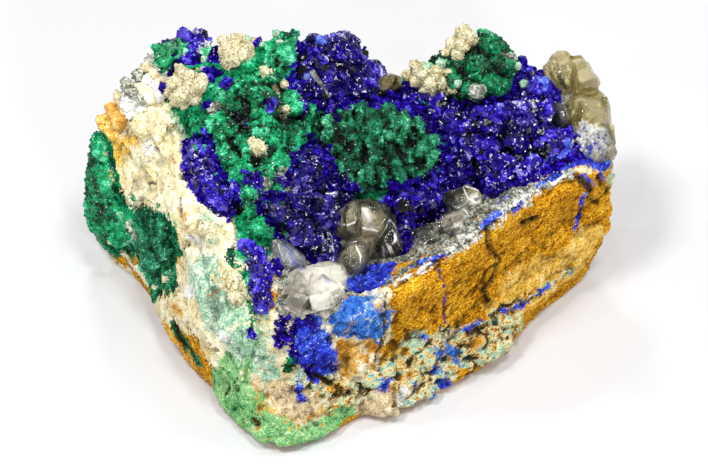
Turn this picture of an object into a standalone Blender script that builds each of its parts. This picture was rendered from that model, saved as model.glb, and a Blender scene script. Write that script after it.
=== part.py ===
"""A hand specimen of cerussite and azurite on malachite, at its real size.

A wedge of ochre limonite lies on its flat underside. Cream, green and blue crusts cover its top and its left
flank, and clear to tan cerussite crystals stand among them. Lengths are in millimetres until a mesh is made.
"""

import math

import bmesh
import bpy
import numpy as np
from mathutils import Vector, geometry, kdtree, noise

# Driving sizes, in millimetres.
SPECIMEN_WIDTH = 71.0
GAP = 0.35
ROCK_GAP = 0.6
MOST_SPREAD = 1.4
CRUST_BURY = 1.6
CRYSTAL_BURY = 2.2
CRYSTAL_ROOT = 0.9
METRES = 0.001

# The photograph, 708 by 472 pixels, and how the specimen shows in it.
PHOTO_CENTRE = (354.0, 236.0)
SPECIMEN_LEFT_PX, SPECIMEN_RIGHT_PX = 85.0, 617.0
PX_PER_MM = (SPECIMEN_RIGHT_PX - SPECIMEN_LEFT_PX) / SPECIMEN_WIDTH
SIGHT_ELEVATION = math.radians(40.0)
SIGHT_DISTANCE = 400.0
SIGHT_AIM = np.array((0.99, -0.33, 15.0))

# Each landmark is (pixel right, pixel down, height above the base in millimetres).
OUTLINE = (
    (290, 447, 1.0), (315, 442, 1.2), (338, 430, 1.5), (352, 412, 2.2), (364, 401, 2.4), (386, 417, 1.4),
    (402, 407, 1.6), (432, 394, 2.0), (468, 373, 2.6), (505, 346, 3.2), (530, 314, 4.0), (556, 292, 4.2),
    (580, 264, 5.5), (600, 238, 8.0), (611, 212, 11.0), (614, 186, 15.0), (613, 160, 20.0), (606, 130, 22.0),
    (592, 105, 23.0), (570, 84, 24.5), (548, 74, 25.5), (530, 64, 27.0), (516, 52, 28.5), (504, 42, 30.0),
    (488, 37, 30.8), (465, 41, 31.0), (448, 53, 29.6), (425, 67, 27.4), (396, 82, 24.6), (379, 78, 25.0),
    (366, 66, 27.2), (354, 52, 29.6), (334, 42, 31.8), (312, 40, 33.0), (290, 36, 33.6), (256, 38, 33.8),
    (214, 43, 33.0), (190, 42, 32.0), (170, 48, 30.8), (154, 68, 28.5), (147, 86, 27.0), (130, 100, 25.2),
    (103, 121, 22.0), (97, 148, 18.5), (95, 178, 14.0), (93, 212, 8.0), (102, 238, 5.0), (124, 252, 4.0),
    (146, 284, 3.0), (157, 314, 3.0), (170, 341, 2.5), (190, 365, 2.0), (210, 381, 2.0), (220, 402, 1.6),
    (238, 425, 1.3), (262, 440, 1.1),
)
SURFACE = {
    "ochre rim": (
        (384, 293, 19.0), (402, 276, 20.4), (425, 261, 21.2), (448, 246, 21.8), (470, 229, 22.0),
        (492, 212, 22.3), (515, 197, 22.5), (540, 183, 22.8), (566, 174, 22.8), (592, 172, 21.8),
    ),
    "ochre wall": (
        (395, 330, 12.5), (430, 305, 14.0), (465, 285, 14.0), (500, 260, 14.0), (535, 235, 14.5),
        (570, 215, 15.0), (380, 365, 7.0), (420, 350, 7.5), (460, 330, 8.0), (500, 305, 8.0),
        (540, 275, 8.0), (575, 250, 9.5), (400, 388, 3.8), (440, 369, 4.4), (480, 346, 5.0), (350, 398, 3.8),
    ),
    "front corner": (
        (352, 302, 18.2), (322, 320, 17.2), (290, 330, 16.6), (262, 330, 15.6), (352, 342, 12.2),
        (320, 360, 10.4), (290, 365, 10.0), (255, 368, 9.4), (336, 388, 5.2), (305, 402, 4.4),
        (270, 408, 4.2),
    ),
    "hollow": (
        (360, 285, 15.2), (385, 272, 14.8), (406, 258, 15.4), (432, 238, 16.2), (456, 220, 16.8),
        (480, 201, 17.6), (510, 182, 19.2), (540, 168, 20.8), (375, 238, 14.0), (402, 232, 14.2),
        (345, 225, 16.2), (420, 205, 17.0), (330, 262, 16.4),
    ),
    "right slope": (
        (470, 158, 20.2), (500, 140, 21.6), (532, 120, 22.8), (482, 112, 24.4), (530, 88, 25.6),
        (480, 72, 28.8), (450, 78, 27.4), (430, 95, 24.8), (408, 92, 24.2), (575, 130, 22.2),
        (590, 150, 21.6),
    ),
    "back wall": ((390, 98, 24.0), (362, 92, 25.2), (335, 82, 27.4), (305, 76, 30.2)),
    "middle mound": (
        (350, 130, 22.6), (400, 130, 22.2), (430, 150, 20.6), (352, 170, 20.4), (400, 178, 18.4),
    ),
    "left dome": (
        (280, 110, 29.0), (250, 100, 31.0), (220, 80, 32.2), (240, 150, 28.2), (285, 160, 26.2),
        (302, 200, 22.2), (260, 200, 24.6), (225, 200, 24.6), (190, 150, 26.6), (190, 84, 31.0),
    ),
    "left flank": (
        (162, 112, 26.6), (150, 145, 23.6), (116, 170, 17.2), (152, 186, 19.4), (182, 205, 22.4),
        (130, 215, 12.6), (166, 238, 16.0), (202, 250, 19.0), (172, 284, 10.4), (206, 302, 14.4),
        (236, 282, 18.8), (190, 332, 8.6), (212, 355, 7.4), (236, 385, 6.4), (252, 250, 21.4),
        (272, 285, 19.2), (302, 250, 18.4), (282, 228, 20.8),
    ),
}
# Each hollow or hump is (pixel right, pixel down, radius in pixels, rise in millimetres).
HUMPS = {
    "ochre pit": (521, 219, 9, -1.5),
    "ochre cleft top": (492, 232, 5, -1.2),
    "ochre cleft foot": (498, 252, 6, -1.3),
    "ochre hollow": (480, 292, 15, -1.2),
    "ochre shoulder": (425, 285, 16, 0.8),
    "flank cavity": (181, 338, 10, -2.4),
    "flank cavity foot": (192, 355, 7, -1.2),
    "ochre plate": (176, 352, 8, 1.2),
    "foot bulge": (290, 428, 34, 1.0),
    "foot ledge": (292, 396, 22, 0.9),
    "brown chip": (388, 404, 14, 1.1),
}
# The ochre break at the front right lies a step behind the crust's edge.
BREAK_FACE = (
    (384, 294), (402, 279), (425, 265), (448, 250), (470, 234), (492, 218), (515, 203), (540, 189),
    (566, 179), (592, 177), (606, 190), (609, 214), (598, 238), (578, 262), (554, 288), (528, 308),
    (500, 318), (470, 336), (430, 352), (396, 362), (374, 366), (384, 335),
)
BREAK_DEPTH, BREAK_EDGE_PX = 0.9, 5.0

# How finely the rock is drawn, how rough it is, and how many triangles it keeps.
ROCK_SPACING_PX = 4.0
ROCK_GRAIN = 0.55
ROCK_TRIANGLES = 2200
ROCK_CUTTER_TRIANGLES = 1500
ROCK_BACK_RINGS = 9
ROCK_ROUGHNESS = 0.5
ROCK_BOX = ((-42.0, -32.0, -18.0), (42.0, 32.0, 24.0))
FACET_SIZE, FACET_TILT = 6.5, 0.22
BACK_FACET_SIZE, BACK_FACET_TILT = 11.0, 0.25
FOOT_SMOOTHING = 60
FOOT_INSET, BACK_LEAN, BACK_BULGE = 1.0, 0.13, 0.07
BASE_SNAP = 0.25

# The bedding runs parallel to the lower right edge of the photographed rock.
BEDDING_START = (380.0, 400.0)
BEDDING_ACROSS = (0.6, 0.8)
BEDDING_TOP_PX, BEDDING_STEP_PX, BEDDING_STEP = -48.0, 18.0, 1.3

# Base colour, roughness, transmission weight and index of refraction.
MATERIALS = {
    "limonite": ((0.52, 0.30, 0.06), 0.85, 0.0, 1.5),
    "cream_crystals": ((0.82, 0.72, 0.48), 0.6, 0.0, 1.5),
    "malachite": ((0.02, 0.28, 0.12), 0.6, 0.0, 1.65),
    "azurite": ((0.02, 0.01, 0.42), 0.25, 0.0, 1.73),
    "cerussite_clear": ((0.78, 0.76, 0.70), 0.08, 0.9, 2.0),
    "cerussite_tan": ((0.66, 0.58, 0.36), 0.1, 0.9, 2.0),
    "cerussite_white": ((0.86, 0.84, 0.78), 0.3, 0.3, 2.0),
}

UP = np.array((0.0, math.sin(SIGHT_ELEVATION), math.cos(SIGHT_ELEVATION)))
TO_EYE = np.array((0.0, -math.cos(SIGHT_ELEVATION), math.sin(SIGHT_ELEVATION)))
EYE = SIGHT_AIM + SIGHT_DISTANCE * TO_EYE


def clear_scene():
    for obj in list(bpy.data.objects):
        bpy.data.objects.remove(obj)


def sight_lines(pixels):
    """Directions from the eye through the pixels, ending on the plane through the aim point."""
    across = (pixels[:, 0] - PHOTO_CENTRE[0]) / PX_PER_MM
    upward = (PHOTO_CENTRE[1] - pixels[:, 1]) / PX_PER_MM
    return -SIGHT_DISTANCE * TO_EYE + across[:, None] * np.array((1.0, 0.0, 0.0)) + upward[:, None] * UP


def at_height(pixels, heights):
    """The points that show at these pixels and lie at these heights."""
    lines = sight_lines(pixels)
    return EYE + lines * ((heights - EYE[2]) / lines[:, 2])[:, None]


def thin_plate(landmarks):
    """A smooth function of the pixel that passes through every landmark's height."""
    data = np.array(landmarks, float)
    places, heights = data[:, :2] / 100.0, data[:, 2]

    def kernel(a, b):
        squared = ((a[:, None] - b[None]) ** 2).sum(2)
        return squared * np.log(squared + 1e-12)

    count = len(places)
    border = np.column_stack((np.ones(count), places))
    system = np.zeros((count + 3, count + 3))
    system[:count, :count] = kernel(places, places)
    system[:count, count:] = border
    system[count:, :count] = border.T
    weights = np.linalg.solve(system, np.concatenate((heights, np.zeros(3))))

    def height(pixels):
        at = pixels / 100.0
        return kernel(at, places) @ weights[:count] + weights[count] + at @ weights[count + 1:]

    return height


HEIGHT = thin_plate(OUTLINE + tuple(mark for group in SURFACE.values() for mark in group))


def roughness(points, scale, seed):
    """Rock-like noise of about -1 to 1 at these points; scale is the size of its largest lumps."""
    offset = Vector((seed * 11.3, seed * 5.7, seed * 3.1))
    return np.array([noise.fractal(Vector(p) / scale + offset, 0.9, 2.1, 4) for p in points - SIGHT_AIM])


def broken_facets(points, size, tilt):
    """Flat break facets of about this size, each tilted its own way, with small steps between them."""
    random = np.random.default_rng(int(size * 10))
    low, high = np.array(ROCK_BOX)
    middles = random.uniform(low, high, (int(np.prod((high - low) / size)), 3))
    tilts = random.uniform(-tilt, tilt, middles.shape)
    tree = kdtree.KDTree(len(middles))
    for number, middle in enumerate(middles):
        tree.insert(middle, number)
    tree.balance()
    places = points - SIGHT_AIM
    nearest = [tree.find(place)[1] for place in places]
    return ((places - middles[nearest]) * tilts[nearest]).sum(1)


def bedding_ledges(pixels):
    """Steps of the layered lower right wall, as a rise towards the eye."""
    across = (pixels - BEDDING_START) @ np.array(BEDDING_ACROSS)
    steps = np.mod(across / BEDDING_STEP_PX, 1.0) - 0.5
    inside = (across > BEDDING_TOP_PX) & (pixels[:, 0] > BEDDING_START[0] - 35)
    return np.where(inside, BEDDING_STEP * steps, 0.0)


def rock_rise(pixels):
    """How far the rock's relief stands out towards the eye at these pixels."""
    points = at_height(pixels, HEIGHT(pixels))
    rise = bedding_ledges(pixels)
    for right, down, radius, amount in HUMPS.values():
        squared = ((pixels - (right, down)) ** 2).sum(1) / radius**2
        rise += amount * np.exp(-squared)
    face = np.array(BREAK_FACE, float)
    inward = np.clip(edge_distance(pixels, face) / BREAK_EDGE_PX, 0, 1)
    rise -= np.where(is_inside(pixels, face), BREAK_DEPTH * inward, 0.0)
    return rise + ROCK_ROUGHNESS * roughness(points, 7.0, 1) + broken_facets(points, FACET_SIZE, FACET_TILT)


def rock_face(pixels):
    """The points of the rock's seen side at these pixels."""
    return at_height(pixels, HEIGHT(pixels)) + rock_rise(pixels)[:, None] * TO_EYE


def outline_of(landmarks, spacing):
    """The closed outline through the landmarks, in steps of about the spacing in pixels."""
    corners = np.array(landmarks, float)[:, :2]
    points = []
    for start, end in zip(corners, np.roll(corners, -1, axis=0)):
        steps = max(1, round(float(np.linalg.norm(end - start)) / spacing))
        points += [start + (end - start) * i / steps for i in range(steps)]
    return np.array(points)


def edge_distance(pixels, outline):
    """Distance in pixels from each place to the outline."""
    nearest = np.full(len(pixels), 1e9)
    for start, end in zip(outline, np.roll(outline, -1, axis=0)):
        along = end - start
        share = np.clip((pixels - start) @ along / (along @ along), 0, 1)
        nearest = np.minimum(nearest, np.linalg.norm(pixels - start - share[:, None] * along, axis=1))
    return nearest


def is_inside(pixels, outline):
    inside = np.zeros(len(pixels), bool)
    for (x0, y0), (x1, y1) in zip(outline, np.roll(outline, -1, axis=0)):
        if y0 == y1:
            continue
        crossing = x0 + (pixels[:, 1] - y0) / (y1 - y0) * (x1 - x0)
        inside ^= ((y0 > pixels[:, 1]) != (y1 > pixels[:, 1])) & (pixels[:, 0] < crossing)
    return inside


def lattice_in(outline, spacing):
    """Places of a triangular lattice inside the outline, clear of its edge."""
    low, high = outline.min(0), outline.max(0)
    rows = np.arange(low[1], high[1], spacing * math.sqrt(3) / 2)
    places = [
        (x + (i % 2) * spacing / 2, y)
        for i, y in enumerate(rows)
        for x in np.arange(low[0], high[0], spacing)
    ]
    places = np.array(places)
    places = places[is_inside(places, outline)]
    return places[edge_distance(places, outline) > 0.6 * spacing]


def triangulate(outline, spacing):
    """Pixels and triangles that fill the outline, whose own points come first."""
    pixels = np.vstack((outline, lattice_in(outline, spacing)))
    edges = [(i, (i + 1) % len(outline)) for i in range(len(outline))]
    points, _, faces, _, _, _ = geometry.delaunay_2d_cdt([Vector(p) for p in pixels], edges, [], 1, 1e-6)
    return np.array([p[:] for p in points]), [tuple(f) for f in faces]


def mesh_of(name, points, faces):
    """A closed mesh in metres, facing out, from points in millimetres."""
    mesh = bpy.data.meshes.new(name)
    mesh.from_pydata([Vector(p) * METRES for p in points], [], faces)
    work = bmesh.new()
    work.from_mesh(mesh)
    bmesh.ops.recalc_face_normals(work, faces=work.faces)
    work.to_mesh(mesh)
    work.free()
    return mesh


def material_of(name):
    if name in bpy.data.materials:
        return bpy.data.materials[name]
    colour, rough, transmission, ior = MATERIALS[name]
    material = bpy.data.materials.new(name)
    material.use_nodes = True
    shader = material.node_tree.nodes["Principled BSDF"]
    shader.inputs["Base Color"].default_value = (*colour, 1.0)
    shader.inputs["Roughness"].default_value = rough
    shader.inputs["Metallic"].default_value = 0.0
    shader.inputs["Transmission Weight"].default_value = transmission
    shader.inputs["IOR"].default_value = ior
    return material


def add_object(name, mesh, material):
    obj = bpy.data.objects.new(name, mesh)
    obj.data.materials.clear()
    obj.data.materials.append(material_of(material))
    bpy.context.scene.collection.objects.link(obj)
    return obj


def apply_modifiers(obj):
    """Replaces the object's mesh by its evaluated one, and drops the modifiers."""
    bpy.context.view_layer.update()
    graph = bpy.context.evaluated_depsgraph_get()
    obj.data = bpy.data.meshes.new_from_object(obj.evaluated_get(graph))
    obj.modifiers.clear()


def decimate(obj, triangles):
    """Thins the mesh, which keeps its flat faces and its edges."""
    work = bmesh.new()
    work.from_mesh(obj.data)
    bmesh.ops.triangulate(work, faces=work.faces)
    work.to_mesh(obj.data)
    work.free()
    thinner = obj.modifiers.new("thin", "DECIMATE")
    thinner.ratio = min(1.0, triangles / len(obj.data.polygons))
    apply_modifiers(obj)


def even_out(obj):
    """Rebuilds the surface on an even grid, which clears every fold."""
    even = obj.modifiers.new("even", "REMESH")
    even.mode = "VOXEL"
    even.voxel_size = ROCK_GRAIN * METRES
    apply_modifiers(obj)


def hidden(name, mesh):
    """A helper that cuts its neighbours and isn't part of the specimen."""
    cutter = bpy.data.objects.new(name, mesh)
    cutter.hide_render = True
    cutter.display_type = "WIRE"
    bpy.context.scene.collection.objects.link(cutter)
    return cutter


def inflated(obj, gap):
    """A hidden copy of the object, grown by the gap, to cut its neighbours with."""
    work = bmesh.new()
    work.from_mesh(obj.data)
    work.normal_update()
    moved = [v.co + v.normal * min(v.calc_shell_factor(), MOST_SPREAD) * gap * METRES for v in work.verts]
    for vertex, place in zip(work.verts, moved):
        vertex.co = place
    mesh = bpy.data.meshes.new(obj.name + "_clearance")
    work.to_mesh(mesh)
    work.free()
    return hidden(mesh.name, mesh)


def boolean(obj, other, operation):
    cut = obj.modifiers.new(other.name, "BOOLEAN")
    cut.operation = operation
    cut.solver = "EXACT"
    cut.object = other
    apply_modifiers(obj)


def keep_largest_body(obj):
    """Drops the crumbs that a cut leaves beside the main body."""
    work = bmesh.new()
    work.from_mesh(obj.data)
    seen, bodies = set(), []
    for start in work.verts:
        if start in seen:
            continue
        seen.add(start)
        body, front = [start], [start]
        while front:
            vertex = front.pop()
            for edge in vertex.link_edges:
                other = edge.other_vert(vertex)
                if other not in seen:
                    seen.add(other)
                    body.append(other)
                    front.append(other)
        bodies.append(body)
    bodies.sort(key=lambda body: sum(f.calc_area() for v in body for f in v.link_faces))
    bmesh.ops.delete(work, geom=[v for body in bodies[:-1] for v in body], context="VERTS")
    work.to_mesh(obj.data)
    work.free()


def back_rings(rim):
    """Rings of the unseen side, from the outline down to the underside and in to its middle."""
    middle = rim[:, :2].mean(0)
    outward = rim[:, :2] - middle
    outward /= np.linalg.norm(outward, axis=1)[:, None]
    foot = rim[:, :2] - outward * (FOOT_INSET + BACK_LEAN * rim[:, 2:])
    for _ in range(FOOT_SMOOTHING):
        foot = (foot + np.roll(foot, 1, axis=0) + np.roll(foot, -1, axis=0)) / 3
    rings = []
    for share in np.linspace(0, 1, ROCK_BACK_RINGS + 1)[1:]:
        bulge = outward * BACK_BULGE * rim[:, 2:] * math.sin(math.pi * share)
        ring = np.column_stack((
            rim[:, :2] * (1 - share) + foot * share + bulge,
            rim[:, 2] * (1 - share),
        ))
        rough = roughness(ring, 9.0, 2) + broken_facets(ring, BACK_FACET_SIZE, BACK_FACET_TILT)
        ring[:, :2] += outward * np.minimum(rough, 0)[:, None] * math.sin(math.pi * share)
        rings.append(ring)
    for share in (0.66, 0.33):
        rings.append(np.column_stack((middle + (foot - middle) * share, np.zeros(len(rim)))))
    rings.append(np.array([[*middle, 0.0]]))
    return rings


def flatten_base(obj):
    """Sets every corner that the thinning left just off the base exactly on it."""
    for vertex in obj.data.vertices:
        if abs(vertex.co.z) < BASE_SNAP * METRES:
            vertex.co.z = 0.0


def make_matrix():
    """The limonite rock: its seen side follows the landmarks, and its back is a plain broken face."""
    outline = outline_of(OUTLINE, ROCK_SPACING_PX)
    pixels, faces = triangulate(outline, ROCK_SPACING_PX)
    front = rock_face(pixels)
    count = len(outline)
    points = [front]
    ring_start, last = 0, len(front)
    for ring in back_rings(front[:count]):
        for i in range(count):
            j = (i + 1) % count
            if len(ring) == 1:
                faces.append((ring_start + i, ring_start + j, last))
            else:
                faces.append((ring_start + i, ring_start + j, last + j, last + i))
        points.append(ring)
        ring_start, last = last, last + len(ring)
    matrix = add_object("matrix", mesh_of("matrix", np.vstack(points), faces), "limonite")
    even_out(matrix)
    decimate(matrix, ROCK_TRIANGLES)
    flatten_base(matrix)
    return matrix


def scattered(outline, spacing, seed):
    """Jittered lattice places that cover the outline, with three random numbers each."""
    random = np.random.default_rng(seed)
    low, high = outline.min(0) - spacing, outline.max(0) + spacing
    places = [
        (x + (i % 2) * spacing / 2, y)
        for i, y in enumerate(np.arange(low[1], high[1], spacing * 0.87))
        for x in np.arange(low[0], high[0], spacing)
    ]
    places = np.array(places)
    places += random.uniform(-0.3, 0.3, places.shape) * spacing
    return places, random.uniform(0, 1, (len(places), 3))


def round_lumps(size_px, height, seed):
    """A botryoidal surface: overlapping round lumps of this width and height."""

    def rise(pixels, outline):
        places, chance = scattered(outline, size_px, seed)
        radius = size_px * (0.6 + 0.35 * chance[:, 0])
        tall = height * (0.55 + 0.45 * chance[:, 1])
        squared = ((pixels[:, None] - places[None]) ** 2).sum(2) / radius**2
        return (tall * np.sqrt(np.clip(1 - squared, 0, 1))).max(1)

    return rise


def wedge_crystals(size_px, height, seed):
    """A druse: close-set wedge-shaped crystals with flat faces, each turned its own way."""

    def rise(pixels, outline):
        places, chance = scattered(outline, size_px, seed)
        turn = chance[:, 0] * math.pi
        tall = height * (0.6 + 0.4 * chance[:, 1])
        away = pixels[:, None] - places[None]
        along = away[..., 0] * np.cos(turn) + away[..., 1] * np.sin(turn)
        across = away[..., 1] * np.cos(turn) - away[..., 0] * np.sin(turn)
        slope = height / size_px
        roof = np.minimum(tall, 1.5 * tall - slope * 0.8 * np.abs(along) - slope * 2.0 * np.abs(across))
        return np.clip(roof.max(1), 0, None)

    return rise


# Each crust: material, outline in pixels, least thickness, thickness in its middle, its surface, triangles.
CRUSTS = {
    "cream_crust": (
        "cream_crystals",
        (
            (146, 92), (164, 98), (166, 108), (176, 114), (182, 140), (180, 152), (184, 172), (199, 198),
            (214, 213), (232, 218), (238, 240), (240, 272), (249, 314), (262, 318), (256, 345), (246, 372),
            (236, 396), (224, 378), (208, 352), (196, 334), (178, 326), (160, 314), (163, 302), (180, 280),
            (182, 256), (178, 234), (162, 216), (146, 208), (132, 212), (120, 196), (114, 166), (108, 138),
            (110, 122), (130, 106),
        ),
        0.7, 1.5, round_lumps(13, 0.9, 1), 480,
    ),
    "malachite_crust": (
        "malachite",
        (
            (186, 118), (202, 112), (210, 104), (209, 92), (214, 84), (226, 78), (246, 78), (262, 66),
            (264, 44), (280, 30), (298, 28), (300, 46), (302, 62), (294, 74), (287, 88), (304, 98),
            (320, 104), (314, 118), (310, 142), (296, 152), (292, 164), (286, 176), (286, 196), (264, 196),
            (254, 206), (270, 226), (286, 236), (270, 240), (262, 236), (246, 236), (242, 218), (232, 206),
            (242, 188), (226, 180), (216, 162), (210, 138), (196, 136), (188, 132),
        ),
        0.8, 1.8, round_lumps(11, 1.5, 2), 700,
    ),
    "malachite_rosette": (
        "malachite",
        (
            (322, 112), (334, 104), (346, 103), (356, 98), (372, 97), (392, 102), (410, 106), (428, 116),
            (440, 132), (448, 150), (442, 166), (436, 180), (420, 186), (402, 192), (384, 190), (368, 192),
            (350, 190), (338, 184), (326, 170), (323, 152), (316, 142), (318, 124),
        ),
        0.9, 2.6, wedge_crystals(16, 2.0, 3), 450,
    ),
    "malachite_mound": (
        "malachite",
        (
            (404, 78), (426, 60), (446, 46), (462, 44), (470, 32), (486, 26), (502, 35), (510, 46),
            (518, 56), (522, 70), (514, 80), (514, 92), (496, 96), (480, 104), (466, 106), (452, 100),
            (438, 91), (420, 88),
        ),
        0.8, 2.2, round_lumps(10, 1.5, 4), 300,
    ),
    "malachite_flank": (
        "malachite",
        (
            (93, 134), (103, 128), (110, 168), (117, 198), (128, 216), (140, 226), (146, 214), (160, 220),
            (174, 238), (178, 256), (175, 278), (160, 298), (150, 300), (142, 274), (128, 254), (106, 252),
            (96, 240), (84, 218), (85, 186), (88, 154),
        ),
        0.7, 1.3, round_lumps(9, 1.2, 5), 330,
    ),
    "azurite_back": (
        "azurite",
        (
            (304, 40), (318, 34), (336, 35), (352, 40), (362, 50), (370, 62), (380, 71), (392, 76),
            (400, 82), (392, 92), (374, 93), (354, 94), (342, 99), (324, 100), (308, 94), (292, 86),
            (299, 75), (306, 64),
        ),
        0.8, 1.6, wedge_crystals(11, 1.6, 6), 300,
    ),
    "azurite_right": (
        "azurite",
        (
            (397, 98), (402, 90), (420, 93), (437, 96), (452, 105), (466, 111), (482, 108), (498, 100),
            (516, 96), (519, 84), (528, 74), (540, 70), (552, 78), (550, 96), (558, 112), (562, 128),
            (576, 140), (574, 152), (558, 160), (542, 168), (524, 180), (508, 190), (494, 194), (478, 183),
            (462, 178), (450, 180), (445, 172), (452, 152), (444, 130), (431, 113), (412, 103),
        ),
        0.8, 2.0, wedge_crystals(12, 1.9, 7), 500,
    ),
    "azurite_centre": (
        "azurite",
        (
            (299, 156), (312, 148), (319, 158), (322, 174), (335, 188), (350, 194), (346, 206), (338, 222),
            (338, 238), (340, 252), (334, 266), (322, 264), (304, 250), (290, 238), (274, 224), (260, 206),
            (268, 200), (290, 200), (290, 180), (296, 166),
        ),
        0.8, 1.7, wedge_crystals(11, 1.6, 8), 400,
    ),
    "azurite_hollow": (
        "azurite",
        (
            (392, 200), (404, 196), (422, 190), (438, 187), (443, 198), (436, 212), (412, 222), (408, 240),
            (402, 258), (394, 268), (376, 276), (358, 286), (352, 282), (366, 270), (376, 256), (390, 244),
            (396, 228), (396, 212),
        ),
        0.8, 1.5, wedge_crystals(10, 1.5, 12), 200,
    ),
    "azurite_strip": (
        "azurite",
        (
            (186, 150), (192, 140), (207, 142), (212, 164), (222, 184), (238, 190), (230, 202), (219, 208),
            (203, 194), (190, 174),
        ),
        0.8, 1.5, wedge_crystals(10, 1.3, 9), 110,
    ),
    "azurite_strip_low": (
        "azurite",
        (
            (244, 240), (258, 240), (269, 250), (271, 276), (274, 300), (264, 312), (253, 308), (247, 284),
            (243, 262),
        ),
        0.7, 1.3, wedge_crystals(10, 1.2, 10), 100,
    ),
    "azurite_corner": (
        "azurite",
        (
            (157, 50), (166, 42), (184, 37), (204, 35), (212, 40), (212, 52), (200, 56), (188, 52),
            (176, 58), (170, 70), (160, 78), (155, 66),
        ),
        0.7, 1.2, wedge_crystals(10, 1.2, 11), 100,
    ),
}
CRUST_SPACING_PX, CRUST_EDGE_PX = 3.2, 14.0


def make_crust(name, cutters):
    """A crust that lies on the rock: its top carries the lumps or crystals, and its foot is cut clear."""
    material, corners, least, middle, surface, triangles = CRUSTS[name]
    outline = outline_of(corners, CRUST_SPACING_PX)
    pixels, faces = triangulate(outline, CRUST_SPACING_PX)
    inward = np.clip(edge_distance(pixels, np.array(corners, float)) / CRUST_EDGE_PX, 0, 1)
    thickness = least + (middle - least) * np.sin(inward * math.pi / 2)
    thickness += surface(pixels, outline) * (0.35 + 0.65 * inward)
    ground = rock_face(pixels)
    top = ground + thickness[:, None] * TO_EYE
    buried = ground - CRUST_BURY * TO_EYE
    total, count = len(pixels), len(outline)
    under = [tuple(total + i for i in face[::-1]) for face in faces]
    walls = [(i, (i + 1) % count, total + (i + 1) % count, total + i) for i in range(count)]
    obj = add_object(name, mesh_of(name, np.vstack((top, buried)), faces + under + walls), material)
    decimate(obj, triangles)
    for cutter in cutters:
        boolean(obj, cutter, "DIFFERENCE")
    keep_largest_body(obj)


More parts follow.
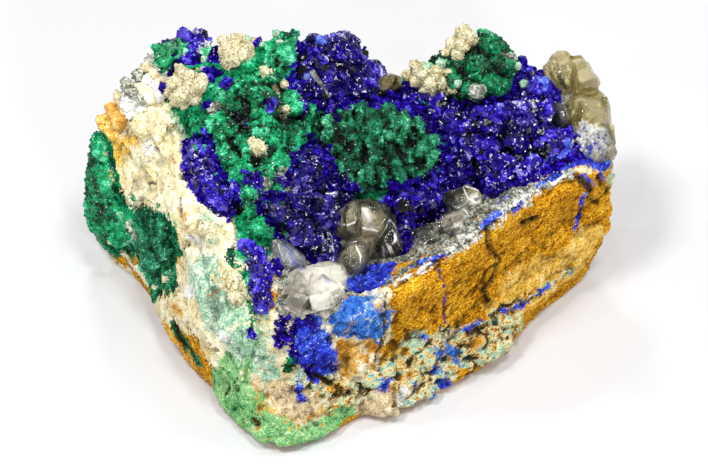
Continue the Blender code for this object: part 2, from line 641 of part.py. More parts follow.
# Each crystal or tuft: material, then its bodies, each a list of corners. A corner is (pixel right,
# pixel down, rise above the rock in millimetres).
CRYSTALS = {
    "cream_ball": ("cream_crystals", (
        (
            (217, 52, 0.6), (221, 40, 0.8), (232, 33, 0.8), (246, 35, 0.8), (255, 45, 0.8), (256, 57, 0.6),
            (249, 68, 0.6), (236, 73, 0.6), (223, 66, 0.6), (225, 48, 2.6), (236, 42, 3.0), (247, 48, 2.8),
            (248, 58, 2.5), (237, 63, 2.6), (227, 58, 2.5), (237, 52, 3.6),
        ),
    )),
    "cream_tuft_left": ("cream_crystals", (
        (
            (168, 90, 0.9), (172, 76, 1.3), (186, 71, 1.5), (200, 74, 1.3), (206, 84, 1.1), (203, 96, 1.0),
            (190, 104, 0.9), (176, 105, 0.9), (176, 84, 3.0), (190, 79, 3.3), (198, 86, 2.8), (188, 96, 2.7),
            (178, 96, 2.6),
        ),
        ((173, 62, 0.8), (182, 60, 0.9), (190, 72, 1.6), (176, 78, 1.6), (180, 70, 2.4)),
    )),
    "cream_spire": ("cream_crystals", (
        (
            (456, 38, 0.6), (459, 28, 0.8), (465, 23, 0.6), (472, 29, 0.8), (474, 42, 0.8), (466, 54, 0.8),
            (452, 56, 0.7), (446, 48, 0.6), (458, 36, 3.4), (466, 32, 3.6), (468, 42, 3.8), (456, 48, 3.2),
        ),
    )),
    "cream_tuft_right": ("cream_crystals", (
        (
            (404, 80, 0.6), (412, 66, 0.9), (424, 62, 1.0), (436, 66, 1.0), (446, 76, 1.0), (446, 88, 0.8),
            (432, 92, 0.8), (416, 90, 0.7), (414, 74, 3.6), (426, 70, 3.9), (438, 78, 4.2), (430, 86, 3.6),
            (416, 84, 3.2),
        ),
    )),
    "cerussite_twin": ("cerussite_clear", (
        (
            (336, 224, 0.8), (339, 211, 1.4), (350, 202, 1.6), (358, 199, 1.6), (360, 238, 1.4),
            (350, 240, 1.0), (339, 234, 0.8), (345, 213, 4.6), (354, 207, 5.2), (358, 222, 5.8),
            (354, 234, 4.4), (344, 228, 4.0),
        ),
        (
            (357, 200, 1.6), (374, 198, 1.6), (388, 205, 1.5), (396, 217, 1.2), (397, 229, 1.0),
            (388, 241, 1.0), (372, 246, 1.0), (357, 241, 1.4), (361, 208, 5.6), (374, 206, 5.8),
            (386, 215, 5.0), (388, 226, 4.6), (378, 236, 4.4), (362, 234, 5.2), (368, 220, 6.6),
        ),
        (
            (352, 236, 1.4), (374, 238, 1.2), (376, 250, 0.9), (368, 266, 0.8), (356, 277, 0.7),
            (345, 275, 0.7), (335, 262, 0.8), (342, 246, 1.0), (356, 240, 5.6), (370, 240, 5.2),
            (366, 256, 4.6), (354, 268, 3.8), (344, 262, 3.6), (348, 248, 4.6),
        ),
    )),
    "cerussite_side": ("cerussite_clear", (
        (
            (383, 240, 0.8), (391, 235, 1.0), (398, 242, 1.0), (398, 252, 0.9), (389, 257, 0.8),
            (380, 252, 0.7), (385, 243, 4.0), (392, 239, 4.2), (395, 246, 4.0), (388, 252, 3.6),
        ),
    )),
    "cerussite_shard": ("cerussite_clear", (
        (
            (272, 240, 0.8), (283, 238, 1.0), (296, 245, 1.0), (304, 255, 0.9), (309, 267, 0.6),
            (294, 271, 0.6), (280, 267, 0.7), (274, 254, 0.8), (278, 243, 2.9), (292, 250, 3.4),
            (298, 262, 2.6), (284, 262, 2.4),
        ),
    )),
    "cerussite_white": ("cerussite_white", (
        (
            (285, 278, 1.0), (298, 271, 1.2), (308, 276, 1.4), (318, 296, 1.4), (317, 314, 0.8),
            (300, 317, 0.6), (286, 311, 0.7), (292, 282, 3.6), (303, 280, 4.2), (312, 296, 4.4),
            (306, 308, 3.0), (292, 304, 2.8),
        ),
        (
            (303, 272, 1.2), (314, 272, 1.4), (324, 266, 1.4), (334, 272, 1.4), (341, 269, 1.2),
            (347, 280, 1.1), (352, 292, 0.9), (341, 304, 0.8), (329, 317, 0.6), (318, 314, 0.8),
            (312, 280, 4.8), (324, 272, 5.2), (334, 278, 5.0), (343, 290, 3.6), (331, 304, 3.4),
            (319, 300, 4.4),
        ),
    )),
    "cerussite_group": ("cerussite_clear", (
        (
            (410, 232, 0.8), (424, 223, 1.0), (442, 222, 1.0), (449, 234, 1.0), (440, 246, 0.9),
            (426, 251, 0.8), (412, 248, 0.6), (420, 231, 3.4), (436, 229, 4.2), (432, 240, 3.6),
            (420, 241, 2.8),
        ),
        (
            (436, 223, 1.0), (444, 212, 1.2), (453, 207, 1.2), (464, 213, 1.2), (471, 224, 1.0),
            (467, 236, 0.9), (452, 243, 0.8), (440, 241, 0.8), (444, 221, 4.2), (454, 213, 4.6),
            (463, 222, 4.2), (458, 234, 3.4), (446, 234, 3.6),
        ),
        (
            (442, 200, 0.6), (450, 188, 0.8), (462, 184, 0.8), (476, 190, 0.9), (488, 198, 0.8),
            (484, 208, 0.8), (471, 218, 0.9), (456, 214, 0.9), (464, 191, 2.6), (476, 198, 3.0),
            (468, 208, 3.2), (454, 202, 2.6),
        ),
    )),
    "cerussite_corner": ("cerussite_tan", (
        (
            (543, 67, 1.0), (551, 56, 1.2), (558, 51, 1.2), (566, 53, 1.2), (572, 60, 1.2), (575, 76, 1.2),
            (572, 92, 1.0), (562, 97, 0.9), (553, 88, 0.9), (556, 64, 5.4), (564, 60, 5.8), (569, 72, 6.2),
            (566, 86, 5.0), (557, 80, 4.6),
        ),
        (
            (566, 57, 1.2), (580, 56, 1.2), (587, 64, 1.2), (593, 76, 1.1), (600, 83, 1.0), (597, 93, 0.9),
            (580, 96, 0.9), (568, 94, 0.9), (572, 66, 6.4), (582, 66, 6.2), (589, 80, 5.6), (576, 86, 5.8),
        ),
        (
            (566, 98, 0.8), (580, 92, 1.2), (598, 89, 1.2), (607, 98, 1.1), (608, 112, 1.0), (606, 126, 0.9),
            (614, 138, 0.9), (617, 152, 0.8), (612, 166, 0.6), (596, 160, 0.6), (582, 150, 0.6),
            (576, 132, 0.7), (568, 112, 0.8), (580, 102, 4.8), (596, 100, 4.9), (600, 118, 4.4),
            (604, 146, 3.4), (590, 142, 3.6), (580, 122, 4.0),
        ),
    )),
    "cerussite_smoky": ("cerussite_clear", (
        (
            (552, 100, 0.7), (560, 102, 0.8), (566, 112, 0.8), (570, 124, 0.7), (562, 128, 0.6),
            (552, 122, 0.6), (548, 110, 0.6), (556, 106, 3.2), (563, 114, 3.4), (561, 122, 2.6),
        ),
    )),
    "cerussite_notch": ("cerussite_tan", (
        (
            (371, 86, 0.5), (378, 77, 0.8), (390, 74, 0.9), (399, 76, 0.8), (400, 87, 0.6), (386, 90, 0.5),
            (381, 79, 4.2), (394, 78, 4.4), (392, 86, 3.4),
        ),
    )),
    "cerussite_lath": ("cerussite_clear", (
        (
            (309, 72, 0.6), (313, 69, 0.7), (333, 96, 0.6), (328, 99, 0.5), (311, 74, 3.3), (314, 72, 3.4),
            (330, 95, 3.0), (327, 96, 2.9),
        ),
    )),
}
# The crusts that each crystal stands in, which are cut clear of it.
STANDS_IN = {
    "cream_ball": ("malachite_crust",),
    "cream_tuft_left": ("malachite_crust", "cream_crust", "azurite_corner"),
    "cream_spire": ("malachite_mound",),
    "cream_tuft_right": ("malachite_mound", "azurite_right"),
    "cerussite_twin": ("azurite_centre", "azurite_hollow", "malachite_rosette"),
    "cerussite_side": ("azurite_hollow",),
    "cerussite_shard": ("azurite_centre", "azurite_strip_low", "malachite_crust"),
    "cerussite_white": ("azurite_centre", "azurite_hollow"),
    "cerussite_group": ("azurite_hollow", "azurite_right"),
    "cerussite_corner": ("azurite_right",),
    "cerussite_smoky": ("azurite_right",),
    "cerussite_notch": ("azurite_back", "azurite_right", "malachite_mound"),
    "cerussite_lath": ("azurite_back",),
}


def convex(work):
    """Leaves only the convex solid around the vertices."""
    bmesh.ops.convex_hull(work, input=work.verts)
    bmesh.ops.delete(work, geom=[v for v in work.verts if not v.link_faces], context="VERTS")
    bmesh.ops.recalc_face_normals(work, faces=work.faces)
    work.normal_update()


def hull_of(name, corners, grow=0.0):
    """A convex mesh with flat faces through the corners, its root buried in the rock; it may be grown."""
    data = np.array(corners, float)
    lift = rock_rise(data[:, :2]).mean()
    ground = at_height(data[:, :2], HEIGHT(data[:, :2]))
    middle = data[:, :2].mean(0)
    roots = middle + (data[:, :2] - middle) * CRYSTAL_ROOT
    buried = at_height(roots, HEIGHT(roots)) + (lift - CRYSTAL_BURY) * TO_EYE
    work = bmesh.new()
    for point in np.vstack((ground + (data[:, 2:] + lift) * TO_EYE, buried)):
        work.verts.new(Vector(point) * METRES)
    convex(work)
    moved = [v.co + v.normal * min(v.calc_shell_factor(), MOST_SPREAD) * grow * METRES for v in work.verts]
    shell = bmesh.new()
    for place in moved:
        shell.verts.new(place)
    convex(shell)
    mesh = bpy.data.meshes.new(name)
    shell.to_mesh(mesh)
    work.free()
    shell.free()
    return mesh


def make_crystal(name, cutters):
    """Crystals grown together are one solid; its foot is cut clear of the rock and of earlier crystals."""
    material, bodies = CRYSTALS[name]
    obj = add_object(name, hull_of(name, bodies[0]), material)
    for number, corners in enumerate(bodies[1:]):
        other = add_object(f"{name}_{number}", hull_of(name, corners), material)
        boolean(obj, other, "UNION")
        bpy.data.objects.remove(other)
    for cutter in cutters:
        boolean(obj, cutter, "DIFFERENCE")
    keep_largest_body(obj)


def crystal_clearances(name):
    """Hidden solids, a little larger than the crystals of this name."""
    bodies = CRYSTALS[name][1]
    return [hidden(f"{name}_clearance_{i}", hull_of(name, body, GAP)) for i, body in enumerate(bodies)]


def main():
    clear_scene()
    matrix = make_matrix()
    rock_cutter = inflated(matrix, ROCK_GAP)
    even_out(rock_cutter)
    decimate(rock_cutter, ROCK_CUTTER_TRIANGLES)
    clearances = {}
    for name in CRYSTALS:
        make_crystal(name, [rock_cutter] + [c for group in clearances.values() for c in group])
        clearances[name] = crystal_clearances(name)
    for name in CRUSTS:
        standing = [clearances[crystal] for crystal, hosts in STANDS_IN.items() if name in hosts]
        make_crust(name, [rock_cutter] + [c for group in standing for c in group])


main()
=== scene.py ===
"""The look of the cerussite and azurite on malachite specimen.

Each solid of the frame is replaced by a finer piece that is made from a copy of it. Relief and small crystals
are added in code, and named strokes say where the colours lie. Lengths are in millimetres until a mesh is
made.
"""

import math

import bmesh
import bpy
import numpy as np
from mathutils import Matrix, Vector, kdtree, noise
from mathutils.bvhtree import BVHTree


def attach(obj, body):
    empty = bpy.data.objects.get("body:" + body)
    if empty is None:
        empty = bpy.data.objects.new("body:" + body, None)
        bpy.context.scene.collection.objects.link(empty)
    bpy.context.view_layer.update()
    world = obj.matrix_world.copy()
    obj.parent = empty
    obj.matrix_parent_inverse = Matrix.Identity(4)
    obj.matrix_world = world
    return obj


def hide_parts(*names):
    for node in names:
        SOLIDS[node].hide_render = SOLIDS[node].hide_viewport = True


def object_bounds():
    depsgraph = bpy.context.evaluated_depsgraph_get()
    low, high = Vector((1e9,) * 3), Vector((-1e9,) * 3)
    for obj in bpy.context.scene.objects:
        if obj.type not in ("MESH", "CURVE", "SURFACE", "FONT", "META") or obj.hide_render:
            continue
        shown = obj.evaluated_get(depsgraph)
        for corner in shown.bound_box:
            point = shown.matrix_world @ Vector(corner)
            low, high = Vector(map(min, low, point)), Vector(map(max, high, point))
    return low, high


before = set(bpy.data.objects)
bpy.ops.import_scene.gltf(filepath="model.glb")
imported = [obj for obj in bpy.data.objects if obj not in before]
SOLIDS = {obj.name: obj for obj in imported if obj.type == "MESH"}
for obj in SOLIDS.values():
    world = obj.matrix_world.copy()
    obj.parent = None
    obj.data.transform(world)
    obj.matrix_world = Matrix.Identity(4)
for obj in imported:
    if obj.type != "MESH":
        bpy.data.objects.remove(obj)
CAD_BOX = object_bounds()
METRES = 0.001
MOST_HEIGHT = CAD_BOX[1].z / METRES

# The photograph in pixels, and the line of sight, as the solids were made.
PHOTO_WIDTH = 708.0
PHOTO_CENTRE = (354.0, 236.0)
SPECIMEN_WIDTH_PX, SPECIMEN_WIDTH = 532.0, 71.0
PX_PER_MM = SPECIMEN_WIDTH_PX / SPECIMEN_WIDTH
SIGHT_ELEVATION = math.radians(40.0)
SIGHT_DISTANCE = 400.0
SIGHT_AIM = np.array((0.99, -0.33, 15.0))
RIGHT = np.array((1.0, 0.0, 0.0))
UP = np.array((0.0, math.sin(SIGHT_ELEVATION), math.cos(SIGHT_ELEVATION)))
TO_EYE = np.array((0.0, -math.cos(SIGHT_ELEVATION), math.sin(SIGHT_ELEVATION)))
EYE = SIGHT_AIM + SIGHT_DISTANCE * TO_EYE

# The rock's layers run parallel to its lower right edge in the photograph. The streaks at the left end of the
# break are steeper.
LAYERS_ACROSS, LAYERS_ALONG = 0.6 * RIGHT - 0.8 * UP, 0.8 * RIGHT + 0.6 * UP
STREAKS_ACROSS, STREAKS_ALONG = 0.85 * RIGHT - 0.53 * UP, 0.53 * RIGHT + 0.85 * UP

WELD_DISTANCE = 0.001
MOST_CUTS = 7
UNCUT = 100.0


# Meshes as plain arrays.
def fine_copy(mesh, grain):
    """Points and four-sided faces of a copy of the mesh, rebuilt on an even grid."""
    work = bpy.data.objects.new("work", mesh.copy())
    bpy.context.scene.collection.objects.link(work)
    even = work.modifiers.new("even", "REMESH")
    even.mode = "VOXEL"
    even.voxel_size = grain * METRES
    bpy.context.view_layer.update()
    mesh = bpy.data.meshes.new_from_object(work.evaluated_get(bpy.context.evaluated_depsgraph_get()))
    bpy.data.objects.remove(work)
    points = np.empty(len(mesh.vertices) * 3)
    mesh.vertices.foreach_get("co", points)
    corners = np.empty(len(mesh.loops), int)
    mesh.loops.foreach_get("vertex_index", corners)
    return points.reshape(-1, 3) / METRES, corners.reshape(-1, 4)


def cut_copy(mesh, length):
    """Points and triangles of a copy of the mesh, its flat faces cut until no edge is longer than this."""
    work = bmesh.new()
    work.from_mesh(mesh)
    bmesh.ops.remove_doubles(work, verts=work.verts, dist=WELD_DISTANCE * METRES)
    bmesh.ops.triangulate(work, faces=work.faces)
    for _ in range(MOST_CUTS):
        edges = [e for e in work.edges if e.calc_length() > length * METRES]
        if not edges:
            break
        bmesh.ops.subdivide_edges(work, edges=edges, cuts=1)
        bmesh.ops.triangulate(work, faces=work.faces)
    points = np.array([v.co for v in work.verts]) / METRES
    faces = np.array([[v.index for v in f.verts] for f in work.faces])
    work.free()
    return points, faces


def triangles_of(quads):
    return np.concatenate((quads[:, :3], quads[:, [0, 2, 3]]))


def as_quads(triangles):
    """The triangles as four-sided faces with a doubled corner."""
    return triangles[:, [0, 1, 2, 2]]


def unit(rows):
    return rows / np.maximum(np.linalg.norm(rows, axis=1), 1e-9)[:, None]


def summed(places, values, count):
    """Adds up the values, three columns, that go to the same place."""
    return np.column_stack([np.bincount(places, values[:, i], count) for i in range(3)])


def normals_of(points, quads):
    a, b, c, d = (points[quads[:, i]] for i in range(4))
    across = np.cross(c - a, d - b)
    return unit(sum(summed(quads[:, i], across, len(points)) for i in range(4)))


def smoothed(points, quads, rounds):
    turned = np.roll(quads, -1, axis=1)
    starts = np.concatenate((quads.T.ravel(), turned.T.ravel()))
    ends = np.concatenate((turned.T.ravel(), quads.T.ravel()))
    degree = np.bincount(starts, minlength=len(points))[:, None]
    for _ in range(rounds):
        points = 0.5 * points + 0.5 * summed(starts, points[ends], len(points)) / degree
    return points


def tree_of(points):
    tree = kdtree.KDTree(len(points))
    for number, point in enumerate(points):
        tree.insert(point, number)
    tree.balance()
    return tree


def solid_tree(names):
    """A search tree over the faces of these nodes."""
    points, faces = [], []
    for name in names:
        mesh = SOLIDS[name].data
        first = len(points)
        points += [v.co / METRES for v in mesh.vertices]
        faces += [tuple(first + i for i in p.vertices) for p in mesh.polygons]
    return BVHTree.FromPolygons(points, faces)


# Relief, as a rise along the surface's normal.
def level(points):
    return np.ones(len(points))


def rough(points, size, seed):
    offset = Vector((seed * 11.3, seed * 5.7, seed * 3.1))
    return np.array([noise.fractal(Vector(p) / size + offset, 0.8, 2.1, 4) for p in points])


def layered(points, thickness, length, seed, across=LAYERS_ACROSS, along=LAYERS_ALONG):
    """Noise in thin layers."""
    places = np.column_stack((points @ across / thickness, points @ along / length, points @ TO_EYE / length))
    offset = Vector((seed * 7.1, seed * 3.3, seed * 1.7))
    return np.array([noise.noise(Vector(p) + offset) for p in places])


def steps(points, size, tilt, seed):
    """Flat growth facets of about this size, each tilted its own way."""
    random = np.random.default_rng(seed)
    low, high = points.min(0) - size, points.max(0) + size
    count = max(8, int(np.prod((high - low) / size)))
    middles = random.uniform(low, high, (count, 3))
    tilts = random.uniform(-tilt, tilt, middles.shape)
    tree = tree_of(middles)
    nearest = [tree.find(p)[1] for p in points]
    return ((points - middles[nearest]) * tilts[nearest]).sum(1)


def bead(random, spacing):
    """A round lump: how far it reaches, and its height."""
    radius = spacing * random.uniform(0.4, 0.8)
    return radius, lambda away, distance: math.sqrt(radius**2 - distance**2)


def wedge(random, spacing):
    """A wedge-shaped crystal with flat sides, turned its own way."""
    along, across = unit(random.normal(size=(2, 3)))
    across = across - along * (across @ along)
    across /= np.linalg.norm(across)
    tall = spacing * random.uniform(0.35, 0.8)

    def height(away, distance):
        return min(tall - 0.45 * abs(away @ along) - abs(away @ across), 0.8 * tall)

    return 0.9 * spacing, height


def fan(random, spacing):
    """A spray of upright leaves that run out from its middle."""
    along, across = unit(random.normal(size=(2, 3)))
    across = np.cross(along, across)
    across /= np.linalg.norm(across)
    leaves, phase = random.integers(5, 9), random.uniform(0, 6)
    radius = spacing * random.uniform(0.6, 1.0)

    def height(away, distance):
        angle = math.atan2(away @ across, away @ along) * leaves + phase + 1.5 * distance
        leaf = 0.45 + 0.55 * abs(math.sin(angle / 2)) ** 0.7
        return math.sqrt(radius**2 - distance**2) * leaf

    return radius, height


def crowded(points, lump, spacing, grain, seed):
    """Close-set lumps on points that are drawn at random. Where they overlap, the highest counts."""
    random = np.random.default_rng(seed)
    count = max(4, int(len(points) * (grain / (0.8 * spacing)) ** 2))
    tree, rise = tree_of(points), np.zeros(len(points))
    for middle in points[random.permutation(len(points))[:count]]:
        reach, height = lump(random, spacing)
        for _, index, distance in tree.find_range(middle, reach):
            rise[index] = max(rise[index], height(points[index] - middle, distance))
    return rise


# Where the colours lie: strokes and patches in photograph pixels.
AREA_RADIUS, AREA_STEP, LINE_STEP = 4.5, 5.0, 2.0


def lines(radius, *paths):
    return [(radius, path, False) for path in paths]


def areas(*outlines):
    return [(AREA_RADIUS, outline, True) for outline in outlines]


PAINT = {
    "streaks": (areas(((388, 300), (404, 284), (440, 272), (470, 262), (480, 300), (450, 322), (410, 332),
        (386, 360), (382, 330))),),
    "raised": (areas(((492, 232), (494, 250), (500, 262), (492, 278), (488, 292), (500, 300), (540, 286),
        (580, 258), (604, 226), (606, 186), (580, 182), (530, 206)), ((404, 288), (436, 274), (438, 318),
        (410, 326))),),
    "dim": (
        lines(6, ((294, 303), (314, 308))),
        lines(3, ((330, 302), (340, 298)), ((322, 272), (320, 280))),
    ),
    "haze": (
        lines(9, ((450, 216), (460, 216), (460, 226))),
        lines(7, ((288, 282), (290, 304))),
        lines(6, ((300, 302), (316, 308))),
        lines(4, ((478, 200), (488, 206)), ((278, 242), (290, 250), (300, 264))),
        lines(3, ((302, 276), (304, 290))),
    ),
    "beige": (
        areas(((338, 208), (354, 206), (354, 226), (340, 230), (335, 220)), ((360, 214), (380, 212),
            (382, 230), (374, 242), (361, 238))),
        lines(8, ((584, 74), (594, 82)), ((590, 106), (600, 118))),
        lines(5, ((354, 248), (362, 262)), ((472, 192), (484, 204)), ((556, 56), (562, 62))),
        lines(4, ((344, 252), (342, 266))),
    ),
    "milk": (
        areas(((318, 272), (344, 268), (350, 284), (336, 298), (322, 310), (312, 300), (308, 284)),
            ((576, 134), (602, 128), (608, 148), (590, 154), (577, 148))),
        lines(4, ((456, 224), (464, 230), (460, 238)), ((339, 219), (342, 224))),
        lines(3, ((366, 212), (372, 226)), ((474, 198), (484, 204))),
    ),
    "blue": (
        lines(4, ((339, 206), (338, 218))),
        lines(3, ((294, 262), (302, 268)), ((286, 246), (292, 252))),
        lines(2.5, ((588, 148), (592, 158)), ((600, 146), (606, 156))),
        lines(1.5, ((324, 276), (327, 279))),
    ),
    "smoke": (
        lines(5, ((424, 236), (430, 242)), ((448, 196), (462, 190)), ((560, 78), (566, 90))),
        lines(4, ((389, 212), (392, 222)), ((346, 262), (352, 272))),
        lines(2.2, ((347, 204), (344, 216), (344, 234))),
    ),
    # Painted highlights on the clear crystals: white lines and spots where light would glint on their edges
    # and faces.
    "painted_highlight": (
        lines(1.1, ((389, 221), (386, 228), (380, 237)), ((390, 219), (396, 228), (395, 241), (389, 250)),
            ((413, 226), (426, 223), (436, 228)), ((420, 248), (430, 240), (438, 246))),
        lines(1, ((340, 224), (348, 225), (356, 222))),
        lines(0.9, ((360, 227), (368, 229), (377, 231)), ((356, 246), (361, 256), (360, 263)), ((345, 238),
            (350, 243), (356, 241)), ((437, 222), (443, 211), (455, 206), (466, 211), (471, 221))),
        lines(0.8, ((562, 112), (568, 110), (572, 106)), ((544, 104), (548, 112)), ((571, 57), (573, 72),
            (577, 89)), ((544, 69), (559, 72), (572, 69)), ((577, 89), (598, 82)), ((556, 92), (568, 90),
            (580, 93)), ((284, 238), (300, 250), (308, 264)), ((441, 187), (462, 185), (480, 191),
            (493, 200))),
        lines(0.7, ((455, 206), (452, 218), (458, 232)), ((462, 185), (468, 198), (482, 207))),
    ),
    "seam": (
        lines(1.5, ((359, 204), (358, 214), (356, 226), (355, 240))),
        lines(1.2, ((347, 207), (345, 218), (346, 230))),
        lines(1, ((331, 306), (350, 291))),
        lines(0.8, ((357, 240), (352, 256), (350, 270)), ((576, 62), (575, 84))),
    ),
    "cream": (
        areas(((262, 318), (284, 300), (286, 316), (300, 318), (320, 318), (345, 296), (352, 290),
            (384, 288), (384, 335), (374, 366), (395, 362), (386, 372), (370, 376), (355, 384), (336, 380),
            (330, 372), (300, 384), (283, 384), (275, 352), (262, 345)), ((276, 262), (285, 262), (286, 318),
            (274, 318)), ((150, 100), (166, 100), (180, 130), (184, 170), (170, 210), (140, 205), (120, 190),
            (112, 140), (125, 112)), ((250, 340), (280, 336), (284, 384), (262, 384), (252, 366)),
            ((278, 246), (286, 248), (290, 262), (288, 318), (276, 318)), ((148, 288), (158, 312),
            (172, 318), (194, 330), (208, 350), (218, 372), (224, 366), (206, 330), (192, 314), (184, 276),
            (170, 276))),
        lines(8, ((116, 262), (130, 272), (142, 290))),
        lines(6, ((238, 352), (246, 372), (238, 384)), ((154, 296), (166, 314), (178, 324)), ((112, 246),
            (126, 254), (138, 270), (150, 288))),
        lines(5, ((106, 128), (114, 160), (121, 190), (130, 206), (144, 206)), ((146, 200), (160, 211),
            (173, 222), (181, 238))),
        lines(4.5, ((183, 156), (189, 174), (199, 191), (211, 207)), ((578, 170), (601, 167))),
        lines(3, ((172, 58), (184, 66), (198, 72))),
        lines(2.5, ((118, 196), (126, 220), (136, 248))),
    ),
    "bedding": (
        areas(((499, 285), (534, 263), (562, 246), (579, 229), (597, 225), (597, 240), (588, 259),
            (569, 277), (549, 296), (525, 311), (510, 318), (493, 322), (486, 312)), ((110, 138), (124, 134),
            (134, 138), (128, 145), (118, 150), (112, 160))),
        lines(5, ((579, 228), (597, 230))),
        lines(3, ((596, 172), (604, 170)), ((404, 340), (388, 366))),
        lines(2, ((112, 166), (117, 186))),
    ),
    "mixed": (
        areas(((407, 342), (421, 330), (451, 334), (481, 320), (512, 320), (518, 324), (506, 348),
            (499, 355), (469, 366), (455, 370), (451, 383), (432, 392), (414, 399), (397, 409), (395, 386),
            (375, 377), (386, 366)), ((300, 384), (322, 374), (340, 382), (376, 378), (378, 394), (355, 402),
            (345, 406), (322, 411), (308, 400)), ((300, 376), (332, 376), (345, 390), (332, 404),
            (304, 400))),
        lines(3, ((486, 318), (520, 300), (552, 284), (580, 262))),
    ),
    "foot": (areas(((212, 384), (222, 366), (238, 352), (248, 364), (251, 385), (262, 398), (270, 412),
        (288, 422), (305, 420), (322, 411), (347, 410), (356, 404), (350, 418), (338, 432), (315, 444),
        (290, 449), (262, 442), (236, 426), (220, 404)), ((236, 330), (256, 326), (262, 350), (250, 372),
        (238, 362))),),
    "teal": (
        areas(((196, 262), (212, 256), (216, 290), (238, 300), (250, 322), (256, 346), (240, 366),
            (226, 340), (206, 328), (200, 310), (196, 290)), ((254, 352), (272, 350), (276, 380),
            (262, 382))),
        lines(7, ((186, 262), (196, 292))),
        lines(6, ((206, 216), (212, 236))),
        lines(5, ((172, 112), (186, 134), (192, 160), (196, 190)), ((366, 404), (372, 402))),
        lines(4.5, ((611, 152), (615, 166), (611, 180))),
        lines(4, ((238, 320), (248, 352))),
        lines(3, ((262, 300), (266, 330), (262, 352)), ((299, 374), (301, 396)), ((411, 342), (416, 334))),
    ),
    "tan": (
        areas(((262, 384), (276, 382), (292, 388), (306, 394), (322, 400), (320, 412), (302, 418),
            (286, 416), (270, 404)), ((357, 403), (377, 396), (394, 392), (399, 409), (377, 420))),
        lines(8, ((130, 90), (144, 96))),
        lines(7, ((112, 132), (128, 128))),
        lines(6, ((256, 382), (268, 390), (290, 394), (322, 402))),
    ),
    "grey": (
        lines(10, ((139, 73), (150, 86))),
        lines(9, ((470, 217), (478, 213), (486, 206), (500, 198), (514, 191), (524, 187))),
        lines(8, ((118, 117), (130, 108))),
        lines(7.5, ((390, 282), (412, 267), (434, 255), (456, 244), (476, 230), (494, 214), (510, 202),
            (530, 190), (552, 178), (566, 172))),
        lines(7, ((394, 266), (404, 259), (416, 254), (430, 250), (446, 243)), ((284, 176), (290, 184))),
        lines(6, ((304, 304), (316, 312))),
        lines(5, ((208, 108), (204, 104)), ((206, 62), (212, 72)), ((164, 84), (152, 90)), ((289, 282),
            (291, 308)), ((206, 52), (214, 62), (214, 76)), ((206, 42), (202, 52), (208, 62)), ((180, 52),
            (178, 64), (184, 74))),
        lines(4, ((402, 263), (424, 254), (444, 247), (458, 239), (476, 225), (492, 210), (508, 198),
            (522, 191)), ((262, 182), (270, 184)), ((312, 148), (314, 158)), ((473, 89), (481, 91)),
            ((502, 56), (510, 62)), ((473, 102), (481, 104)), ((136, 206), (150, 226), (160, 252)),
            ((176, 54), (172, 66), (178, 76))),
        lines(3.5, ((188, 54), (184, 66), (188, 72))),
        lines(3, ((112, 172), (122, 206), (136, 242)), ((150, 208), (164, 226))),
    ),
    "white": (
        areas(((575, 144), (600, 136), (608, 146), (600, 154), (575, 156)), ((574, 142), (580, 132),
            (600, 128), (606, 140), (600, 152), (580, 154))),
        lines(6, ((182, 292), (192, 290))),
        lines(5, ((403, 392), (402, 402))),
        lines(4, ((512, 206), (532, 194), (540, 190)), ((368, 292), (382, 296)), ((278, 34), (286, 38)),
            ((222, 336), (230, 338)), ((186, 238), (196, 242)), ((147, 140), (151, 150))),
        lines(3.5, ((390, 286), (408, 275)), ((452, 250), (466, 243), (478, 233)), ((548, 183), (562, 176))),
        lines(3, ((556, 162), (570, 150)), ((420, 270), (434, 262)), ((494, 221), (504, 213)), ((303, 322),
            (300, 326))),
        lines(2.5, ((176, 50), (192, 58), (206, 68))),
        lines(1.6, ((312, 330), (308, 340)), ((324, 340), (322, 352)), ((300, 348), (306, 352))),
    ),
    "tuft": (
        lines(8, ((234, 226), (238, 232)), ((232, 278), (236, 296))),
        lines(7, ((256, 146), (260, 147)), ((204, 228), (210, 232))),
        lines(5, ((265, 71), (268, 72))),
        lines(3, ((280, 86), (283, 88)), ((285, 108), (288, 112))),
    ),
    "green": (
        areas(((204, 46), (222, 44), (222, 62), (238, 78), (262, 68), (262, 40), (282, 34), (282, 60),
            (250, 80), (214, 84), (206, 100), (196, 118), (186, 116), (204, 84), (210, 66)), ((154, 56),
            (160, 42), (176, 34), (184, 40), (180, 50), (170, 54), (166, 66), (158, 64)), ((154, 40),
            (186, 34), (188, 46), (172, 62), (156, 66)), ((262, 220), (274, 222), (290, 238), (286, 250),
            (268, 240)), ((226, 247), (238, 248), (245, 257), (243, 264), (234, 262), (224, 254))),
        lines(7, ((198, 145), (210, 136))),
        lines(6, ((190, 54), (198, 64), (206, 62)), ((294, 356), (290, 368)), ((178, 330), (190, 350),
            (198, 362))),
        lines(5, ((158, 62), (170, 66), (180, 64)), ((213, 144), (220, 160), (230, 176), (242, 190)),
            ((232, 205), (244, 214))),
        lines(4, ((440, 92), (452, 100), (470, 104)), ((300, 60), (296, 74), (286, 86)), ((414, 100),
            (424, 104)), ((523, 82), (526, 84))),
        lines(3.6, ((243, 262), (247, 282), (250, 304), (253, 330))),
        lines(3.4, ((132, 200), (133, 201))),
        lines(3, ((284, 234), (300, 244), (312, 258), (322, 266)), ((508, 76), (516, 84))),
        lines(2.6, ((171, 230), (172, 231))),
        lines(2.4, ((167, 216), (168, 217))),
        lines(2.2, ((155, 205), (156, 206))),
        lines(2, ((175, 224), (176, 226))),
    ),
    "velvet": (
        areas(((138, 212), (152, 216), (168, 228), (174, 246), (168, 266), (154, 280), (142, 268),
            (134, 240))),
        lines(6, ((174, 324), (186, 344))),
        lines(5, ((326, 112), (336, 100), (348, 98)), ((322, 118), (320, 140), (328, 160), (338, 178)),
            ((352, 100), (392, 102), (424, 112), (440, 132), (446, 150))),
        lines(4, ((442, 160), (432, 178), (404, 192)), ((390, 194), (368, 196), (346, 188))),
    ),
    "sky": (
